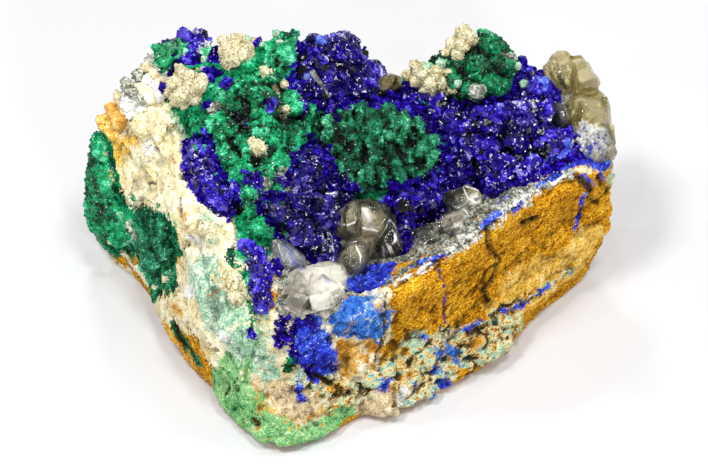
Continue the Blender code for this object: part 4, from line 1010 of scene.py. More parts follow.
def surface_material(name, base, kinds, is_layered=False, bump=0.5, shine=0.5, ior=1.5, gain=1.0):
    made = Surface(name, is_layered)
    colour = made.colour_of(base, 0)
    roughness, specks_and_glints = KINDS[base][3:5]
    for number, kind in enumerate(kinds, 1):
        share = made.share_of(kind, number % 3)
        colour = made.mix(share, colour, made.colour_of(kind, number % 3))
        roughness = made.mix_values(share, roughness, KINDS[kind][3])
        specks_and_glints = made.mix_values(share, specks_and_glints, KINDS[kind][4])
    # A gain below one darkens the whole colour; on azurite_centre it is painted shade.
    if gain < 1:
        colour = made.mix(1.0, colour, (gain, gain, gain, 1), "MULTIPLY")
    # White specks mixed over the colour: partly white grains, partly painted glints.
    colour = made.mix(made.specks_and_glints(specks_and_glints), colour, linear(SPECK_AND_GLINT_COLOUR))
    height = made.total(made.product(made.fine[0], 0.5), made.middle[1])
    made.shade(
        Base_Color=colour, Roughness=made.product(made.total(made.tone, 0.5), roughness),
        Normal=made.bump(height, bump, BUMP_DISTANCE), Specular_IOR_Level=shine, IOR=ior,
    )
    return made.material


# Zones of the clear crystals: colour, how much light passes, how far the edge wanders and how soft it is.
CRYSTAL_ZONES = {
    "haze": ((158, 150, 130), 0.4, 1.6, 0.8),
    "dim": ((120, 117, 106), 0.35, 1.2, 0.6),
    "beige": ((180, 168, 130), 0.5, 1.8, 1.0),
    "milk": ((212, 208, 194), 0.1, 1.8, 0.8),
    "smoke": ((70, 66, 54), 0.6, 0.5, 0.3),
    "blue": ((72, 88, 180), 0.3, 1.6, 0.8),
    # Painted highlight: pale lines along sharp edges.
    "edge": ((206, 206, 196), 0.3, 0.9, 0.2),
    # Painted highlight: white lines and spots along the crystals' edges and faces.
    "painted_highlight": ((250, 250, 246), 0.0, 0.1, 0.08),
    "seam": ((44, 38, 26), 0.1, 0.1, 0.1),
}
# Clear crystals: three colours from dark to light, roughness, IOR, how much light passes where they are
# cloudy and where they are clear, and the colour and density of what they absorb.
CLEAR_KINDS = {
    "glassy": (
        ((104, 101, 86), (152, 148, 132), (212, 210, 202)), 0.06, 1.6, (0.7, 1.0), (218, 212, 194), 50,
    ),
    "grey_clear": (((130, 134, 140), (176, 178, 184), (226, 228, 232)), 0.12, 1.6, (0.35, 0.85)),
    "greyish": (((96, 94, 78), (148, 146, 130), (206, 206, 196)), 0.07, 1.6, (0.45, 0.95)),
    "smoky": (((50, 48, 60), (100, 98, 106), (160, 160, 160)), 0.06, 1.7, (0.5, 0.9), (110, 106, 120), 80),
    "white": (((120, 112, 94), (170, 163, 146), (202, 198, 184)), 0.2, 1.6, (0.0, 0.4)),
    "sparkle": (((140, 140, 142), (200, 200, 198), (242, 242, 242)), 0.1, 1.7, (0.1, 0.5)),
    "tan": (((152, 138, 68), (198, 184, 116), (236, 228, 184)), 0.07, 1.6, (0.45, 0.95), (222, 208, 134), 30),
}
CLOUDS, CRACKS, CLOUDY_RANGE = (2.4, 4.0), (0.45, 3.0), (0.3, 0.8)


def clear_material(name, colours, roughness, ior, passes, absorbs=None, density=0.0):
    """A see-through crystal with cloudy parts, zones, cracks, bright lines of painted highlight and a plain
    absorption.
    """
    made = Nodes(name)
    clouds, fine = made.noise(*CLOUDS), made.noise(*CRACKS)
    cloudy = made.total(made.product(clouds[0], 0.8), made.product(fine[1], 0.2))
    colour = made.ramp(cloudy, tuple(zip((0.0, 0.5, 1.0), colours)))
    passing = made.between(cloudy, *CLOUDY_RANGE, passes[1], passes[0])
    for layer, (tint, through, wander, soft) in CRYSTAL_ZONES.items():
        wandering = made.product(made.math("SUBTRACT", clouds[2], 0.5), wander)
        share = made.share(made.total(made.attribute("at_" + layer), wandering), soft)
        colour = made.mix(share, colour, linear(tint))
        passing = made.mix_values(share, passing, through)
    made.shade(
        Base_Color=colour, Transmission_Weight=passing, Roughness=roughness, IOR=ior,
        Specular_IOR_Level=CLEAR_SHINE, Normal=made.bump(fine[0], CLEAR_BUMP, CLEAR_BUMP_DISTANCE),
    )
    if density:
        volume = made.add("VolumeAbsorption", {"Color": linear(absorbs), "Density": density})
        made.put(volume.outputs[0], made.tree.nodes["Material Output"].inputs["Volume"])
    return made.material


# Pieces.
ROCK_TREE = solid_tree(["matrix"])
SKIN_TREE = solid_tree(sorted(SOLIDS))
COVER_TREE = solid_tree(sorted(n for n in SOLIDS if n != "matrix"))
ANCHORS = anchored(SKIN_TREE)
# The grey lines lie on the rock under the clear crystals too.
ANCHORS["grey"] += anchored(ROCK_TREE, ["grey"])["grey"]

ROCK_GRAIN = 0.4
# The relief that each small crystal is given from its root to its tip: painted shade at the root, painted
# light at the tip.
ROOT_SHADE_RELIEF, TIP_LIGHT_RELIEF = -0.22, 0.10
MOST_TRIANGLES = 190000
LEAST_TOWARD_ROCK, SINKING_SPAN = -0.2, 0.6
NEAR_ROUNDS, FAR_ROUNDS = 14, 90
# Seeds of the small crystals, one for each piece, kind and step.
PIECE_SEED, KIND_SEED, SIZE_SEED = 7919, 31, 5
SIZE_RANGE = (0.5, 1.3)

# What grows on each kind: shape, how many on a square millimetre, width, thickness and height, and lean.
GROWTH = {
    "cream": ((CHIP, 1.6, (0.3, 0.3, 0.26), 0.6),),
    "tuft": ((CHIP, 8.0, (0.24, 0.24, 0.28), 0.5),),
    "green": ((CHIP, 3.0, (0.42, 0.36, 0.38), 0.6), (CHIP, 4.0, (0.24, 0.2, 0.26), 0.7)),
    "velvet": ((NEEDLE, 10.0, (0.16, 0.12, 0.34), 0.5), (CHIP, 2.0, (0.4, 0.16, 0.3), 0.5)),
    "azure": (
        (BLADE, 1.1, (1.5, 0.95, 0.9), 0.45), (BLADE, 1.8, (0.9, 0.55, 0.6), 0.6),
        (CHIP, 1.8, (0.5, 0.32, 0.38), 0.7),
    ),
    "powder": ((CHIP, 3.0, (0.24, 0.22, 0.22), 0.8),),
    "white": ((CHIP, 3.0, (0.5, 0.4, 0.4), 0.8),),
    "grey": ((RHOMB, 1.2, (1.0, 0.7, 0.65), 0.6), (CHIP, 1.6, (0.5, 0.4, 0.35), 0.8)),
    "teal": ((CHIP, 1.5, (0.3, 0.3, 0.28), 0.8),),
    "foot": ((CHIP, 2.0, (0.3, 0.28, 0.26), 0.8),),
    "mixed": ((CHIP, 1.2, (0.5, 0.4, 0.32), 0.9),),
    "ochre": ((CHIP, 0.5, (0.34, 0.3, 0.24), 0.9),),
    "bedding": ((CHIP, 0.8, (0.3, 0.26, 0.22), 0.9),),
    "tan": ((CHIP, 1.6, (0.34, 0.3, 0.28), 0.9),),
}


def sink_into_rock(points, normals, reach, extra):
    """Moves what faces the rock closely into it, and returns how far each point was from the rock."""
    moved, clearance = points.copy(), np.empty(len(points))
    for i, (point, normal) in enumerate(zip(points, normals)):
        nearest, _, _, distance = ROCK_TREE.find_nearest(Vector(point))
        clearance[i] = distance
        toward = (np.array(nearest) - point) / max(distance, 1e-6)
        if distance < reach and toward @ normal > LEAST_TOWARD_ROCK:
            moved[i] = point + toward * (distance + extra) * min(1.0, (reach - distance) / SINKING_SPAN)
    return moved, clearance


def make_piece(name, node, points, triangles, material, attributes, smooth=0):
    """A piece from arrays. Its first faces, as many as given, are shaded smooth."""
    mesh = bpy.data.meshes.new(name)
    mesh.from_pydata((points * METRES).tolist(), [], triangles.tolist())
    for key, values in attributes.items():
        mesh.attributes.new(key, "FLOAT", "POINT").data.foreach_set("value", np.asarray(values, np.float32))
    mesh.polygons.foreach_set("use_smooth", np.arange(len(triangles)) < smooth)
    mesh.materials.append(material)
    mesh.update()
    piece = bpy.data.objects.new(name, mesh)
    bpy.context.scene.collection.objects.link(piece)
    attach(piece, "root")
    if node:
        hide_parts(node)


def shares_of(masks, base, count):
    """How much of each kind shows at each point."""
    left, shares = np.ones(count), {}
    for layer in reversed([k for k in KINDS if k in masks]):
        over = np.clip(masks[layer] / 0.3 + 0.5, 0, 1)
        shares[layer] = left * over
        left = left * (1 - over)
    shares[base] = left
    return shares


def relief_of(base, points, quads):
    """How far each point stands out from the smoothed surface."""
    near, far = smoothed(points, quads, NEAR_ROUNDS), smoothed(points, quads, FAR_ROUNDS)
    far_share = 0.15 if base == "ochre" else 0.45
    return ((points - near + far_share * (points - far)) * normals_of(points, quads)).sum(1)


def small_crystals(points, quads, shares, relief, seed):
    """The crystals of every kind, in batches: kind, points, triangles, tones and relief, a relief that only
    paints shade at their roots and light at their tips.
    """
    batches = []
    for kind in [k for k in KINDS if k in shares]:
        for step, (shape, density, size, lean) in enumerate(GROWTH.get(kind, ())):
            number = PIECE_SEED * (seed + 1) + KIND_SEED * list(KINDS).index(kind) + step
            places, ups, chosen = places_on(points, quads, shares[kind], density, number)
            if len(places) == 0:
                continue
            random = np.random.default_rng(number + SIZE_SEED)
            sizes = np.array(size) * random.uniform(*SIZE_RANGE, (len(places), 1))
            corners, triangles, tones = grown(shape, places, ups, sizes, lean, number)
            # Painted shade and light: each crystal is darker at its root and lighter at its tip, and takes on
            # the painted shade or highlight of the hollow or crest it grows from.
            heights = np.clip(np.tile(shape[0][:, 2], len(places)), 0, 1)
            under = 0.7 * np.repeat(np.clip(relief[quads[chosen]].mean(1), -0.5, 0.3), len(shape[0]))
            rise = ROOT_SHADE_RELIEF + (TIP_LIGHT_RELIEF - ROOT_SHADE_RELIEF) * heights + under
            batches.append((kind, corners, triangles, tones, rise))
    return batches


def dressed(name, node, base, before, points, quads, slot, exposed, seed=0, near=None, accepts=None, **look):
    """One piece: the base body with its crystals. Strokes are placed by its points before the relief."""
    masks = masks_at(before, [k for k in PAINT if k in KINDS], ANCHORS)
    for layer, values in (near or {}).items():
        masks[layer] = np.maximum(masks[layer], values) if layer in masks else values
    masks = {k: v for k, v in masks.items() if k != base and (accepts is None or k in accepts)}
    shares = {kind: share * exposed for kind, share in shares_of(masks, base, len(points)).items()}
    relief = relief_of(base, points, quads)
    body = (None, points, triangles_of(quads), np.full(len(points), 0.5), relief)
    owners, parts, faces, tones, reliefs = zip(body, *small_crystals(points, quads, shares, relief, seed))
    starts = np.cumsum([0] + [len(part) for part in parts])
    every = np.vstack(parts)
    every[:, 2] = np.clip(every[:, 2], 0.0, MOST_HEIGHT)
    # The relief attribute sets the painted shade in hollows and the painted highlight on crests.
    attributes = {"tone": np.concatenate(tones), "relief": np.concatenate(reliefs)}
    for layer, values in masks.items():
        attributes["at_" + layer] = np.concatenate([
            values if owner is None else np.full(len(part), MASK_INSIDE if owner == layer else -MASK_REACH)
            for owner, part in zip(owners, parts)
        ])
    material = surface_material(name + "_paint", base, [k for k in KINDS if k in masks], **look)
    triangles, own = np.vstack([face + start for face, start in zip(faces, starts)]), len(faces[0])
    if len(triangles) < MOST_TRIANGLES:
        make_piece(name, node, every, triangles, material, attributes, own)
        return
    first = len(points)
    low = {key: values[:first] for key, values in attributes.items()}
    high = {key: values[first:] for key, values in attributes.items()}
    make_piece(name, node, every[:first], triangles[:own], material, low, own)
    make_piece(name + "_crystals", None, every[first:], triangles[own:] - first, material, high)


# The crusts that lend each kind to their neighbours' edges.
FAMILIES = {
    "cream": ("cream_crust",),
    "grey": ("cerussite",),
    "azure": ("azurite",),
    "velvet": ("malachite_rosette",),
    "green": ("malachite_crust", "malachite_mound", "malachite_flank", "cream_ball", "cream_t"),
}
FAMILY_TREES = {
    layer: solid_tree(sorted(n for n in SOLIDS if n.startswith(starts) and n != "azurite_strip_low"))
    for layer, starts in FAMILIES.items()
}
FAMILY_REACH = 6.0
EDGE_WANDER, EDGE_WANDER_SIZE, EDGE_SEED = 0.8, 1.5, 60


def near_masks(points, reach, families):
    """Masks that paint the points near the crusts of each family."""
    found = {}
    for layer in families:
        nearest = [FAMILY_TREES[layer].find_nearest(Vector(p), FAMILY_REACH)[3] for p in points]
        distances = np.array([distance or FAMILY_REACH for distance in nearest])
        wander = EDGE_WANDER * rough(points, EDGE_WANDER_SIZE, EDGE_SEED + len(found))
        found[layer] = np.clip(reach - distances, -MASK_REACH, 1.0) + wander
    return found


# Bands on the sides that the photograph hides: kind, thickness, length and how rare they are.
HIDDEN_BANDS = (("bedding", 4.0, 11.0, 0.1), ("brown", 3.0, 9.0, 0.12), ("tan", 3.0, 7.0, 0.3))
# The rock's relief: where, how much of it in millimetres, its pattern and the pattern's values.
ROCK_RELIEF = (
    ("rock", 0.3, rough, (3.5, 1)),
    ("rock", 0.12, rough, (0.7, 2)),
    ("streaks", 0.5, layered, (0.8, 4.0, 12, STREAKS_ACROSS, STREAKS_ALONG)),
    ("streaks", 0.3, layered, (0.4, 2.0, 13, STREAKS_ACROSS, STREAKS_ALONG)),
    ("raised", 0.45, level, ()),
    ("sandy", 0.16, rough, (1.1, 14)),
    ("bedded", 0.12, layered, (0.9, 5.0, 1)),
    ("bedded", 0.1, layered, (0.5, 2.0, 2)),
    ("mixed", 0.9, crowded, (bead, 1.6, ROCK_GRAIN, 8)),
    ("mixed", 0.5, crowded, (bead, 0.8, ROCK_GRAIN, 9)),
    ("mixed", 0.4, layered, (0.7, 2.0, 5)),
    ("mixed", -0.6, level, ()),
    ("soft", 0.42, crowded, (bead, 0.8, ROCK_GRAIN, 3)),
    ("soft", 0.3, crowded, (bead, 1.5, ROCK_GRAIN, 4)),
    ("soft", -0.35, level, ()),
    ("blue", 0.5, crowded, (bead, 0.9, ROCK_GRAIN, 10)),
    ("blue", 0.5, rough, (1.5, 11)),
    ("blue", -0.2, level, ()),
    ("dark", -0.5, level, ()),
    ("vein", -0.15, level, ()),
    ("hidden", 0.8, steps, (7.0, 0.18, 6)),
    ("hidden", 0.6, steps, (2.5, 0.2, 7)),
    ("hidden", 0.4, layered, (1.6, 6.0, 15)),
    ("hidden", -0.5, level, ()),
)
ROCK_LAYERS = ("foot", "cream", "teal", "tan", "mixed", "dark", "vein", "powder", "sky") + RELIEF_LAYERS
EDGE_SOFTNESS = {"streaks": 2.0, "raised": 0.3, "dark": 0.3, "vein": 0.2}
ROCK_EDGE_MIX, GREY_LESS = 1.6, 0.2
TURNED_AWAY = 0.25
RESTING_HEIGHT = 0.5
COVER_REACH = 4.0
ROCK_LOOK = {"is_layered": True, "bump": 0.8, "shine": 0.12}


def rock_zones(points, near, hidden):
    """How much each zone of the relief counts at each point."""
    masks = masks_at(points, ROCK_LAYERS, ANCHORS)
    outside = np.full(len(points), -2.0)
    zones = {
        layer: np.clip(masks.get(layer, outside) / EDGE_SOFTNESS.get(layer, 0.5) + 0.5, 0, 1)
        for layer in ROCK_LAYERS
    }
    crusted = np.clip(sum(np.clip(values + 0.5, 0, 1) for values in near.values()), 0, 1)
    zones["soft"] = np.clip(sum(zones[layer] for layer in ("foot", "cream", "teal", "tan")), 0, 1)
    zones["sandy"] = 1 - np.clip(zones["soft"] + crusted, 0, 1)
    zones["bedded"] = zones["sandy"] * (1 - zones["mixed"])
    zones["blue"] = np.clip(zones["powder"] + zones["sky"], 0, 1)
    zones["hidden"], zones["rock"] = hidden, level(points)
    return zones


def make_rock():
    points, quads = fine_copy(SOLIDS["matrix"].data, ROCK_GRAIN)
    points = smoothed(points, quads, 1)
    normals = normals_of(points, quads)
    near = near_masks(points, ROCK_EDGE_MIX, FAMILIES)
    near["grey"] -= GREY_LESS
    hidden = np.clip(-(normals @ TO_EYE) / TURNED_AWAY, 0, 1)
    for layer, thickness, length, least in HIDDEN_BANDS:
        bands = layered(points, thickness, length, 20 + len(near)) + 0.3 * rough(points, 2.0, 70 + len(near))
        bands = np.clip(3.0 * (bands - least) - (1 - hidden), -MASK_REACH, MASK_INSIDE)
        near[layer] = np.where(hidden > 0, bands, -MASK_REACH)
    zones = rock_zones(points, near, hidden)
    rise = np.zeros(len(points))
    for zone, amount, pattern, values in ROCK_RELIEF:
        rise += amount * zones[zone] * pattern(points, *values)
    resting = points[:, 2] < RESTING_HEIGHT
    rise[resting] = 0
    before, points = points, points + normals * rise[:, None]
    points[:, 2] = np.maximum(points[:, 2], 0.0)
    over = [COVER_TREE.ray_cast(Vector(p), Vector(n), COVER_REACH)[0] for p, n in zip(before, normals)]
    exposed = (np.array([place is None for place in over]) & ~resting).astype(float)
    dressed("rock", "matrix", "ochre", before, points, quads, "limonite", exposed, 0, near, **ROCK_LOOK)


# Each crust: its kind, the grain of its mesh, smoothing, its relief and the families that mix in at its edge.
AZURITE_RELIEF = ((bead, 2.0, 1.2), (wedge, 0.9, 0.35))
ROSETTE_RELIEF = ((fan, 1.6, 0.55), (fan, 0.8, 0.4), (bead, 0.35, 0.3))
MALACHITE_RELIEF = ((bead, 1.5, 0.6), (bead, 0.8, 0.5), (bead, 0.4, 0.35))
TUFT_RELIEF = ((bead, 1.2, 0.5), (bead, 0.4, 0.35))
CRUSTS = {
    "cream_crust": ("cream", 0.28, 3, ((bead, 2.4, 0.35), (bead, 0.9, 0.25), (bead, 0.45, 0.2)), ("green",)),
    "cream_ball": ("tuft", 0.2, 8, ((bead, 0.42, 0.4),), None),
    "cream_tuft_left": ("tuft", 0.2, 6, TUFT_RELIEF, None),
    "cream_tuft_right": ("tuft", 0.2, 6, TUFT_RELIEF, None),
    "cream_spire": ("tuft", 0.2, 6, TUFT_RELIEF, None),
    "malachite_crust": ("green", 0.25, 2, MALACHITE_RELIEF, ("azure",)),
    "malachite_mound": ("green", 0.24, 2, MALACHITE_RELIEF, ("azure",)),
    "malachite_flank": ("green", 0.26, 2, MALACHITE_RELIEF, ("cream",)),
    "malachite_rosette": ("velvet", 0.22, 1, ROSETTE_RELIEF, ("azure",)),
    "azurite_back": ("azure", 0.25, 1, AZURITE_RELIEF, ("green", "velvet")),
    "azurite_right": ("azure", 0.25, 1, AZURITE_RELIEF, ("green", "velvet")),
    "azurite_centre": ("azure", 0.25, 1, AZURITE_RELIEF, ("green", "velvet")),
    "azurite_hollow": ("azure", 0.25, 1, AZURITE_RELIEF, ()),
    "azurite_strip": ("azure", 0.22, 1, AZURITE_RELIEF, ("green",)),
    "azurite_strip_low": ("azure", 0.22, 1, AZURITE_RELIEF, ("cream",)),
    "azurite_corner": ("azure", 0.22, 1, AZURITE_RELIEF, ("green",)),
}
# How far the neighbours mix in, in millimetres.
USUAL_MIX, EDGE_MIX = 0.6, {"malachite_rosette": 1.9, "malachite_crust": 0.8}
ACCEPTED = {"azure": ("green", "velvet", "white", "grey", "cream", "powder", "sky", "tuft")}
# Each crust's colour is multiplied by its gain: on azurite_centre this is painted shade of its hollow, on the
# others it only darkens the colour.
SHADE_AND_COLOUR_GAINS = {"azurite_centre": 0.38, "azurite_back": 0.7, "azurite_right": 0.92, "malachite_mound": 0.75}
CRUST_SLOTS = {"azure": "azurite", "green": "malachite", "velvet": "malachite"}
CRUST_LOOK = {"bump": 0.5, "shine": 0.3, "ior": 1.5}
AZURITE_LOOK = {"bump": 0.15, "shine": 0.6, "ior": 1.6}
CRUST_ROUGHNESS, CRUST_ROUGH_SIZE = 0.10, 0.8
RIDGE_UNEVENNESS, RIDGE_ROUGH_SIZE, RIDGE_SEED = 0.45, 0.9, 33
# How near to the rock a crust or a crystal is moved into it, and how deep. From this gap on it has relief.
CRUST_SINKING, CRYSTAL_SINKING = (1.5, 0.35), (1.4, 0.3)
CLEAR_GAP, CRUST_FADE, CRYSTAL_FADE = 0.7, 0.5, 0.4
# The relief counts from this percentile of its own heights, and crystals grow from this share of it on.
LEVEL_PERCENTILE, FULLY_OPEN, DRESSED_FROM = 75, 0.9, 0.3


def ridges_on(name, points):
    """How far the named lumps and leaves lift the points."""
    rise, tree, skin = np.zeros(len(points)), tree_of(points), solid_tree([name])
    uneven = 1 + RIDGE_UNEVENNESS * rough(points, RIDGE_ROUGH_SIZE, RIDGE_SEED)
    for height, radius, *pixels in RIDGES.get(name, ()):
        reach = radius / PX_PER_MM
        for pixel in stroke_pixels(pixels, False):
            place = seen_at(skin, pixel)[0]
            if place is None:
                continue
            for _, index, distance in tree.find_range(place, reach):
                lift = height * uneven[index] * math.sqrt(1 - (distance / reach) ** 2)
                rise[index] = max(rise[index], lift)
    return rise


def make_crust(number, name):
    base, grain, smoothing, reliefs, neighbours = CRUSTS[name]
    points, quads = fine_copy(SOLIDS[name].data, grain)
    points = smoothed(points, quads, smoothing)
    normals = normals_of(points, quads)
    points, clearance = sink_into_rock(points, normals, *CRUST_SINKING)
    exposed = np.clip((clearance - CLEAR_GAP) / CRUST_FADE, 0, 1)
    rise = CRUST_ROUGHNESS * rough(points, CRUST_ROUGH_SIZE, number) + ridges_on(name, points)
    for step, (lump, size, amount) in enumerate(reliefs):
        rise += amount * crowded(points, lump, size, grain, 10 * number + step)
    rise -= np.percentile(rise[exposed > FULLY_OPEN], LEVEL_PERCENTILE)
    before, points = points, points + normals * (rise * exposed)[:, None]
    near = near_masks(before, EDGE_MIX.get(name, USUAL_MIX), neighbours or ())
    accepts = ACCEPTED.get(base) if neighbours is not None else ("brown",)
    showing = (exposed > DRESSED_FROM).astype(float)
    look = dict(AZURITE_LOOK if base == "azure" else CRUST_LOOK, gain=SHADE_AND_COLOUR_GAINS.get(name, 1.0))
    slot, seed = CRUST_SLOTS.get(base, "cream_crystals"), number + 1
    dressed(name + "_fine", name, base, before, points, quads, slot, showing, seed, near, accepts, **look)


# Small tufts and lumps. The grain is that of the points on a ball of middle size.
BALL_CELLS, BALL_GRAIN, BALL_UNEVENNESS, BALL_SEED = 10, 0.16, 0.2, 40
BALL_LUMPS, BALL_BEAD_AMOUNT, BALL_BEADS, BALL_BEAD_SEED = 1.1, 0.3, 0.4, 90
BALL_LOOK = {"bump": 0.4, "shine": 0.4}
SHOULDER_CELLS, SHOULDER_UNEVENNESS = 7, 0.45
SHOULDER_STEPS = ((0.1, 1.1), (0.55, 1.0), (1.0, 0.8))
SEARCH_STEP_PX = 2


def sphere(cells):
    """Points and four-sided faces of a unit ball, from a cube's grid."""
    ticks = np.linspace(-1, 1, cells + 1)
    points, quads = [], []
    for axis in range(3):
        for side in (-1.0, 1.0):
            first = len(points)
            points += [np.roll((side, a, b * side), axis) for a in ticks for b in ticks]
            corners = [first + i * (cells + 1) + j for i in range(cells) for j in range(cells)]
            quads += [(corner, corner + cells + 1, corner + cells + 2, corner + 1) for corner in corners]
    unique, index = np.unique(np.round(points, 6), axis=0, return_inverse=True)
    return unique / np.linalg.norm(unique, axis=1)[:, None], index.reshape(-1)[np.array(quads)]


def ball_places(balls, lift):
    """The middle and size of each small tuft."""
    found = []
    for right, down, radius in balls:
        place = None
        while place is None:
            place = seen_at(SKIN_TREE, (right, down))[0]
            down += SEARCH_STEP_PX
        size = radius / PX_PER_MM
        found.append((np.array(place) + lift * size * TO_EYE, size))
    return found


def shoulder_places():
    """The middles and sizes of the lumps that widen the upper left edge, and their kinds."""
    found, kinds = [], []
    for kind, radius, start, end in SHOULDER:
        place = seen_at(SKIN_TREE, start)[0]
        shift = ((end[0] - start[0]) * RIGHT + (start[1] - end[1]) * UP) / PX_PER_MM
        for share, size in SHOULDER_STEPS:
            found.append((np.array(place) + share * shift, size * radius / PX_PER_MM))
            kinds.append(kind)
    return found, kinds


def make_balls(name, base, slot, places, kinds=(), cells=BALL_CELLS, unevenness=BALL_UNEVENNESS):
    ball, quads = sphere(cells)
    points, faces = [], []
    for number, (middle, size) in enumerate(places):
        stretch = 1 + unevenness * rough(ball, BALL_LUMPS, number)
        faces.append(quads + len(ball) * number)
        points.append(middle + ball * stretch[:, None] * size)
    points, faces = np.vstack(points), np.vstack(faces)
    rise = BALL_BEAD_AMOUNT * crowded(points, bead, BALL_BEADS, BALL_GRAIN, BALL_BEAD_SEED)
    points = points + normals_of(points, faces) * rise[:, None]
    owners = np.repeat(kinds, len(ball)) if kinds else None
    others = sorted(set(kinds) - {base})
    near = {kind: np.where(owners == kind, MASK_INSIDE, -MASK_REACH) for kind in others}
    exposed, seed = level(points), BALL_SEED + len(places)
    dressed(name, None, base, points, points, faces, slot, exposed, seed, near, tuple(near), **BALL_LOOK)


# Each clear crystal: material, grain of its mesh, how much its edges are rounded, and the size of its steps.
CLEAR = {
    "cerussite_twin": ("glassy", 0.13, 6, 1.0),
    "cerussite_side": ("glassy", 0.12, 0, 1.6),
    "cerussite_shard": ("grey_clear", 0.14, 0, 1.6),
    "cerussite_group": ("greyish", 0.14, 2, 1.6),
    "cerussite_smoky": ("smoky", 0.14, 0, 1.4),
    "cerussite_lath": ("grey_clear", 0.12, 0, 2.0),
    "cerussite_white": ("white", 0.15, 0, 2.6),
    "cerussite_corner": ("tan", 0.18, 0, 2.4),
    "cerussite_notch": ("tan", 0.17, 0, 1.6),
}
CLEAR_SLOTS = {"white": "cerussite_white", "tan": "cerussite_tan"}
STEP_TILT = 0.14
# Amount, size and first seed of the waves on every crystal, and of the finer ones on the rounded crystals.
# Those have thin layers too, with their amount, thickness and length.
WAVES, FINE_WAVES, THIN_LAYERS = (0.03, 1.4, 40), (0.05, 0.7, 41), (0.05, 0.35, 3.0)
# One crystal stands a little larger and higher than its solid.
RAISED, RAISED_GROWTH, RAISED_LIFT = "cerussite_side", 1.35, 0.9
# These crystals get a painted highlight along their sharp edges.
SHARP_EDGED = ("cerussite_side", "cerussite_shard")
SHARP_TURN, SHARP_MASK, BLUNT_MASK = 0.12, 0.22, -0.45
# Small grains on the milky parts: how many of them are blue, how many on a square millimetre, and their size.
BLUE_GRAINS = {"cerussite_corner": 0.35, "cerussite_group": 0.0}
GRAIN_DENSITY, GRAIN_SIZE, GRAIN_LEAN, GRAIN_RANGE_OF_SIZE = 3.5, (0.9, 0.55, 0.8), 0.8, (0.4, 1.3)
MILK_EDGE = 0.3
# Blocks that the crystals are grown from: pixel right and down, size in millimetres, lean to the right and to
# the back.
BLOCKS = {
    "cerussite_white": (
        (316, 270, 4.6, -0.1, 0.1), (328, 268, 4.2, 0.0, 0.0), (300, 277, 5.0, -0.3, 0.3),
        (289, 289, 4.4, -0.6, 0.1), (297, 302, 4.6, -0.3, -0.7), (322, 286, 7.0, 0.05, -0.1),
        (341, 287, 4.4, 0.6, -0.3), (322, 300, 4.6, 0.2, -0.8),
    ),
    "cerussite_group": (
        (455, 217, 6.8, 0.0, 0.0), (425, 236, 5.6, -0.2, 0.1), (472, 195, 7.4, 0.2, 0.3),
        (450, 196, 4.2, -0.4, 0.4),
    ),
}
BLOCK_SIDES, BLOCK_LEAN, BLOCK_DEPTH = np.array((0.72, 0.56, 0.62)), 0.12, 0.25
BLOCK_RANGE, BLOCK_SIZE_SEED, BLOCK_TURN_SEED = (0.75, 1.2), 17, 5
BODY_DEPTH = {"cerussite_white": 0.9, "cerussite_group": 0.2}


def sharpness(points, triangles, normals):
    """How far each point lies on a sharp edge, in millimetres; negative where it is flat. The sharp edges get
    a painted highlight.
    """
    a, b, c = (points[triangles[:, i]] for i in range(3))
    across = unit(np.cross(b - a, c - a))
    turned = np.zeros(len(points))
    for i in range(3):
        np.maximum.at(turned, triangles[:, i], 1 - (across * normals[triangles[:, i]]).sum(1))
    return np.where(turned > SHARP_TURN, SHARP_MASK, BLUNT_MASK)


def blocks_on(name):
    """Crystals on the node, as points and triangles."""
    skin, random = solid_tree([name]), np.random.default_rng(BLOCK_SIZE_SEED)
    places, ups, sizes = [], [], []
    for right, down, size, to_right, to_back in BLOCKS[name]:
        up = np.array((to_right, to_back, 1.0))
        up /= np.linalg.norm(up)
        places.append(np.array(seen_at(skin, (right, down))[0]) - BLOCK_DEPTH * size * up)
        ups.append(up)
        sizes.append(size * BLOCK_SIDES * random.uniform(*BLOCK_RANGE, 3))
    places, ups, sizes = np.array(places), np.array(ups), np.array(sizes)
    return grown(RHOMB, places, ups, sizes, BLOCK_LEAN, BLOCK_TURN_SEED)[:2]


def with_blocks(name):
    """A mesh of the node and of the blocks that stand on it."""
    if name not in BLOCKS:
        return SOLIDS[name].data
    points, sides = cut_copy(SOLIDS[name].data, UNCUT)
    points = points - BODY_DEPTH[name] * normals_of(points, as_quads(sides))
    corners, triangles = blocks_on(name)
    mesh = bpy.data.meshes.new("joined")
    every = np.vstack((points * METRES, corners * METRES))
    mesh.from_pydata(every.tolist(), [], sides.tolist() + (triangles + len(points)).tolist())
    return mesh


def crystal_body(name):
    """The crystal's points, normals from before the rounding, four-sided faces and triangles."""
    _, grain, rounding, _ = CLEAR[name]
    if rounding:
        points, quads = fine_copy(with_blocks(name), grain)
        return smoothed(points, quads, rounding), normals_of(points, quads), quads, triangles_of(quads)
    points, triangles = cut_copy(with_blocks(name), 2 * grain)
    quads = as_quads(triangles)
    return points, normals_of(points, quads), quads, triangles


def crystal_masks(name, points, triangles, normals):
    """The masks of all zones; those of some crystals are placed on their own faces."""
    layers = [layer for layer in CRYSTAL_ZONES if layer in PAINT]
    anchors = ANCHORS
    if name in BLOCKS or name == RAISED:
        anchors = anchored(BVHTree.FromPolygons(points.tolist(), triangles.tolist()), layers)
    masks = {layer: np.full(len(points), -MASK_REACH) for layer in CRYSTAL_ZONES}
    masks.update(masks_at(points, layers, anchors))
    if name in SHARP_EDGED:
        masks["edge"] = sharpness(points, triangles, normals)
    return masks


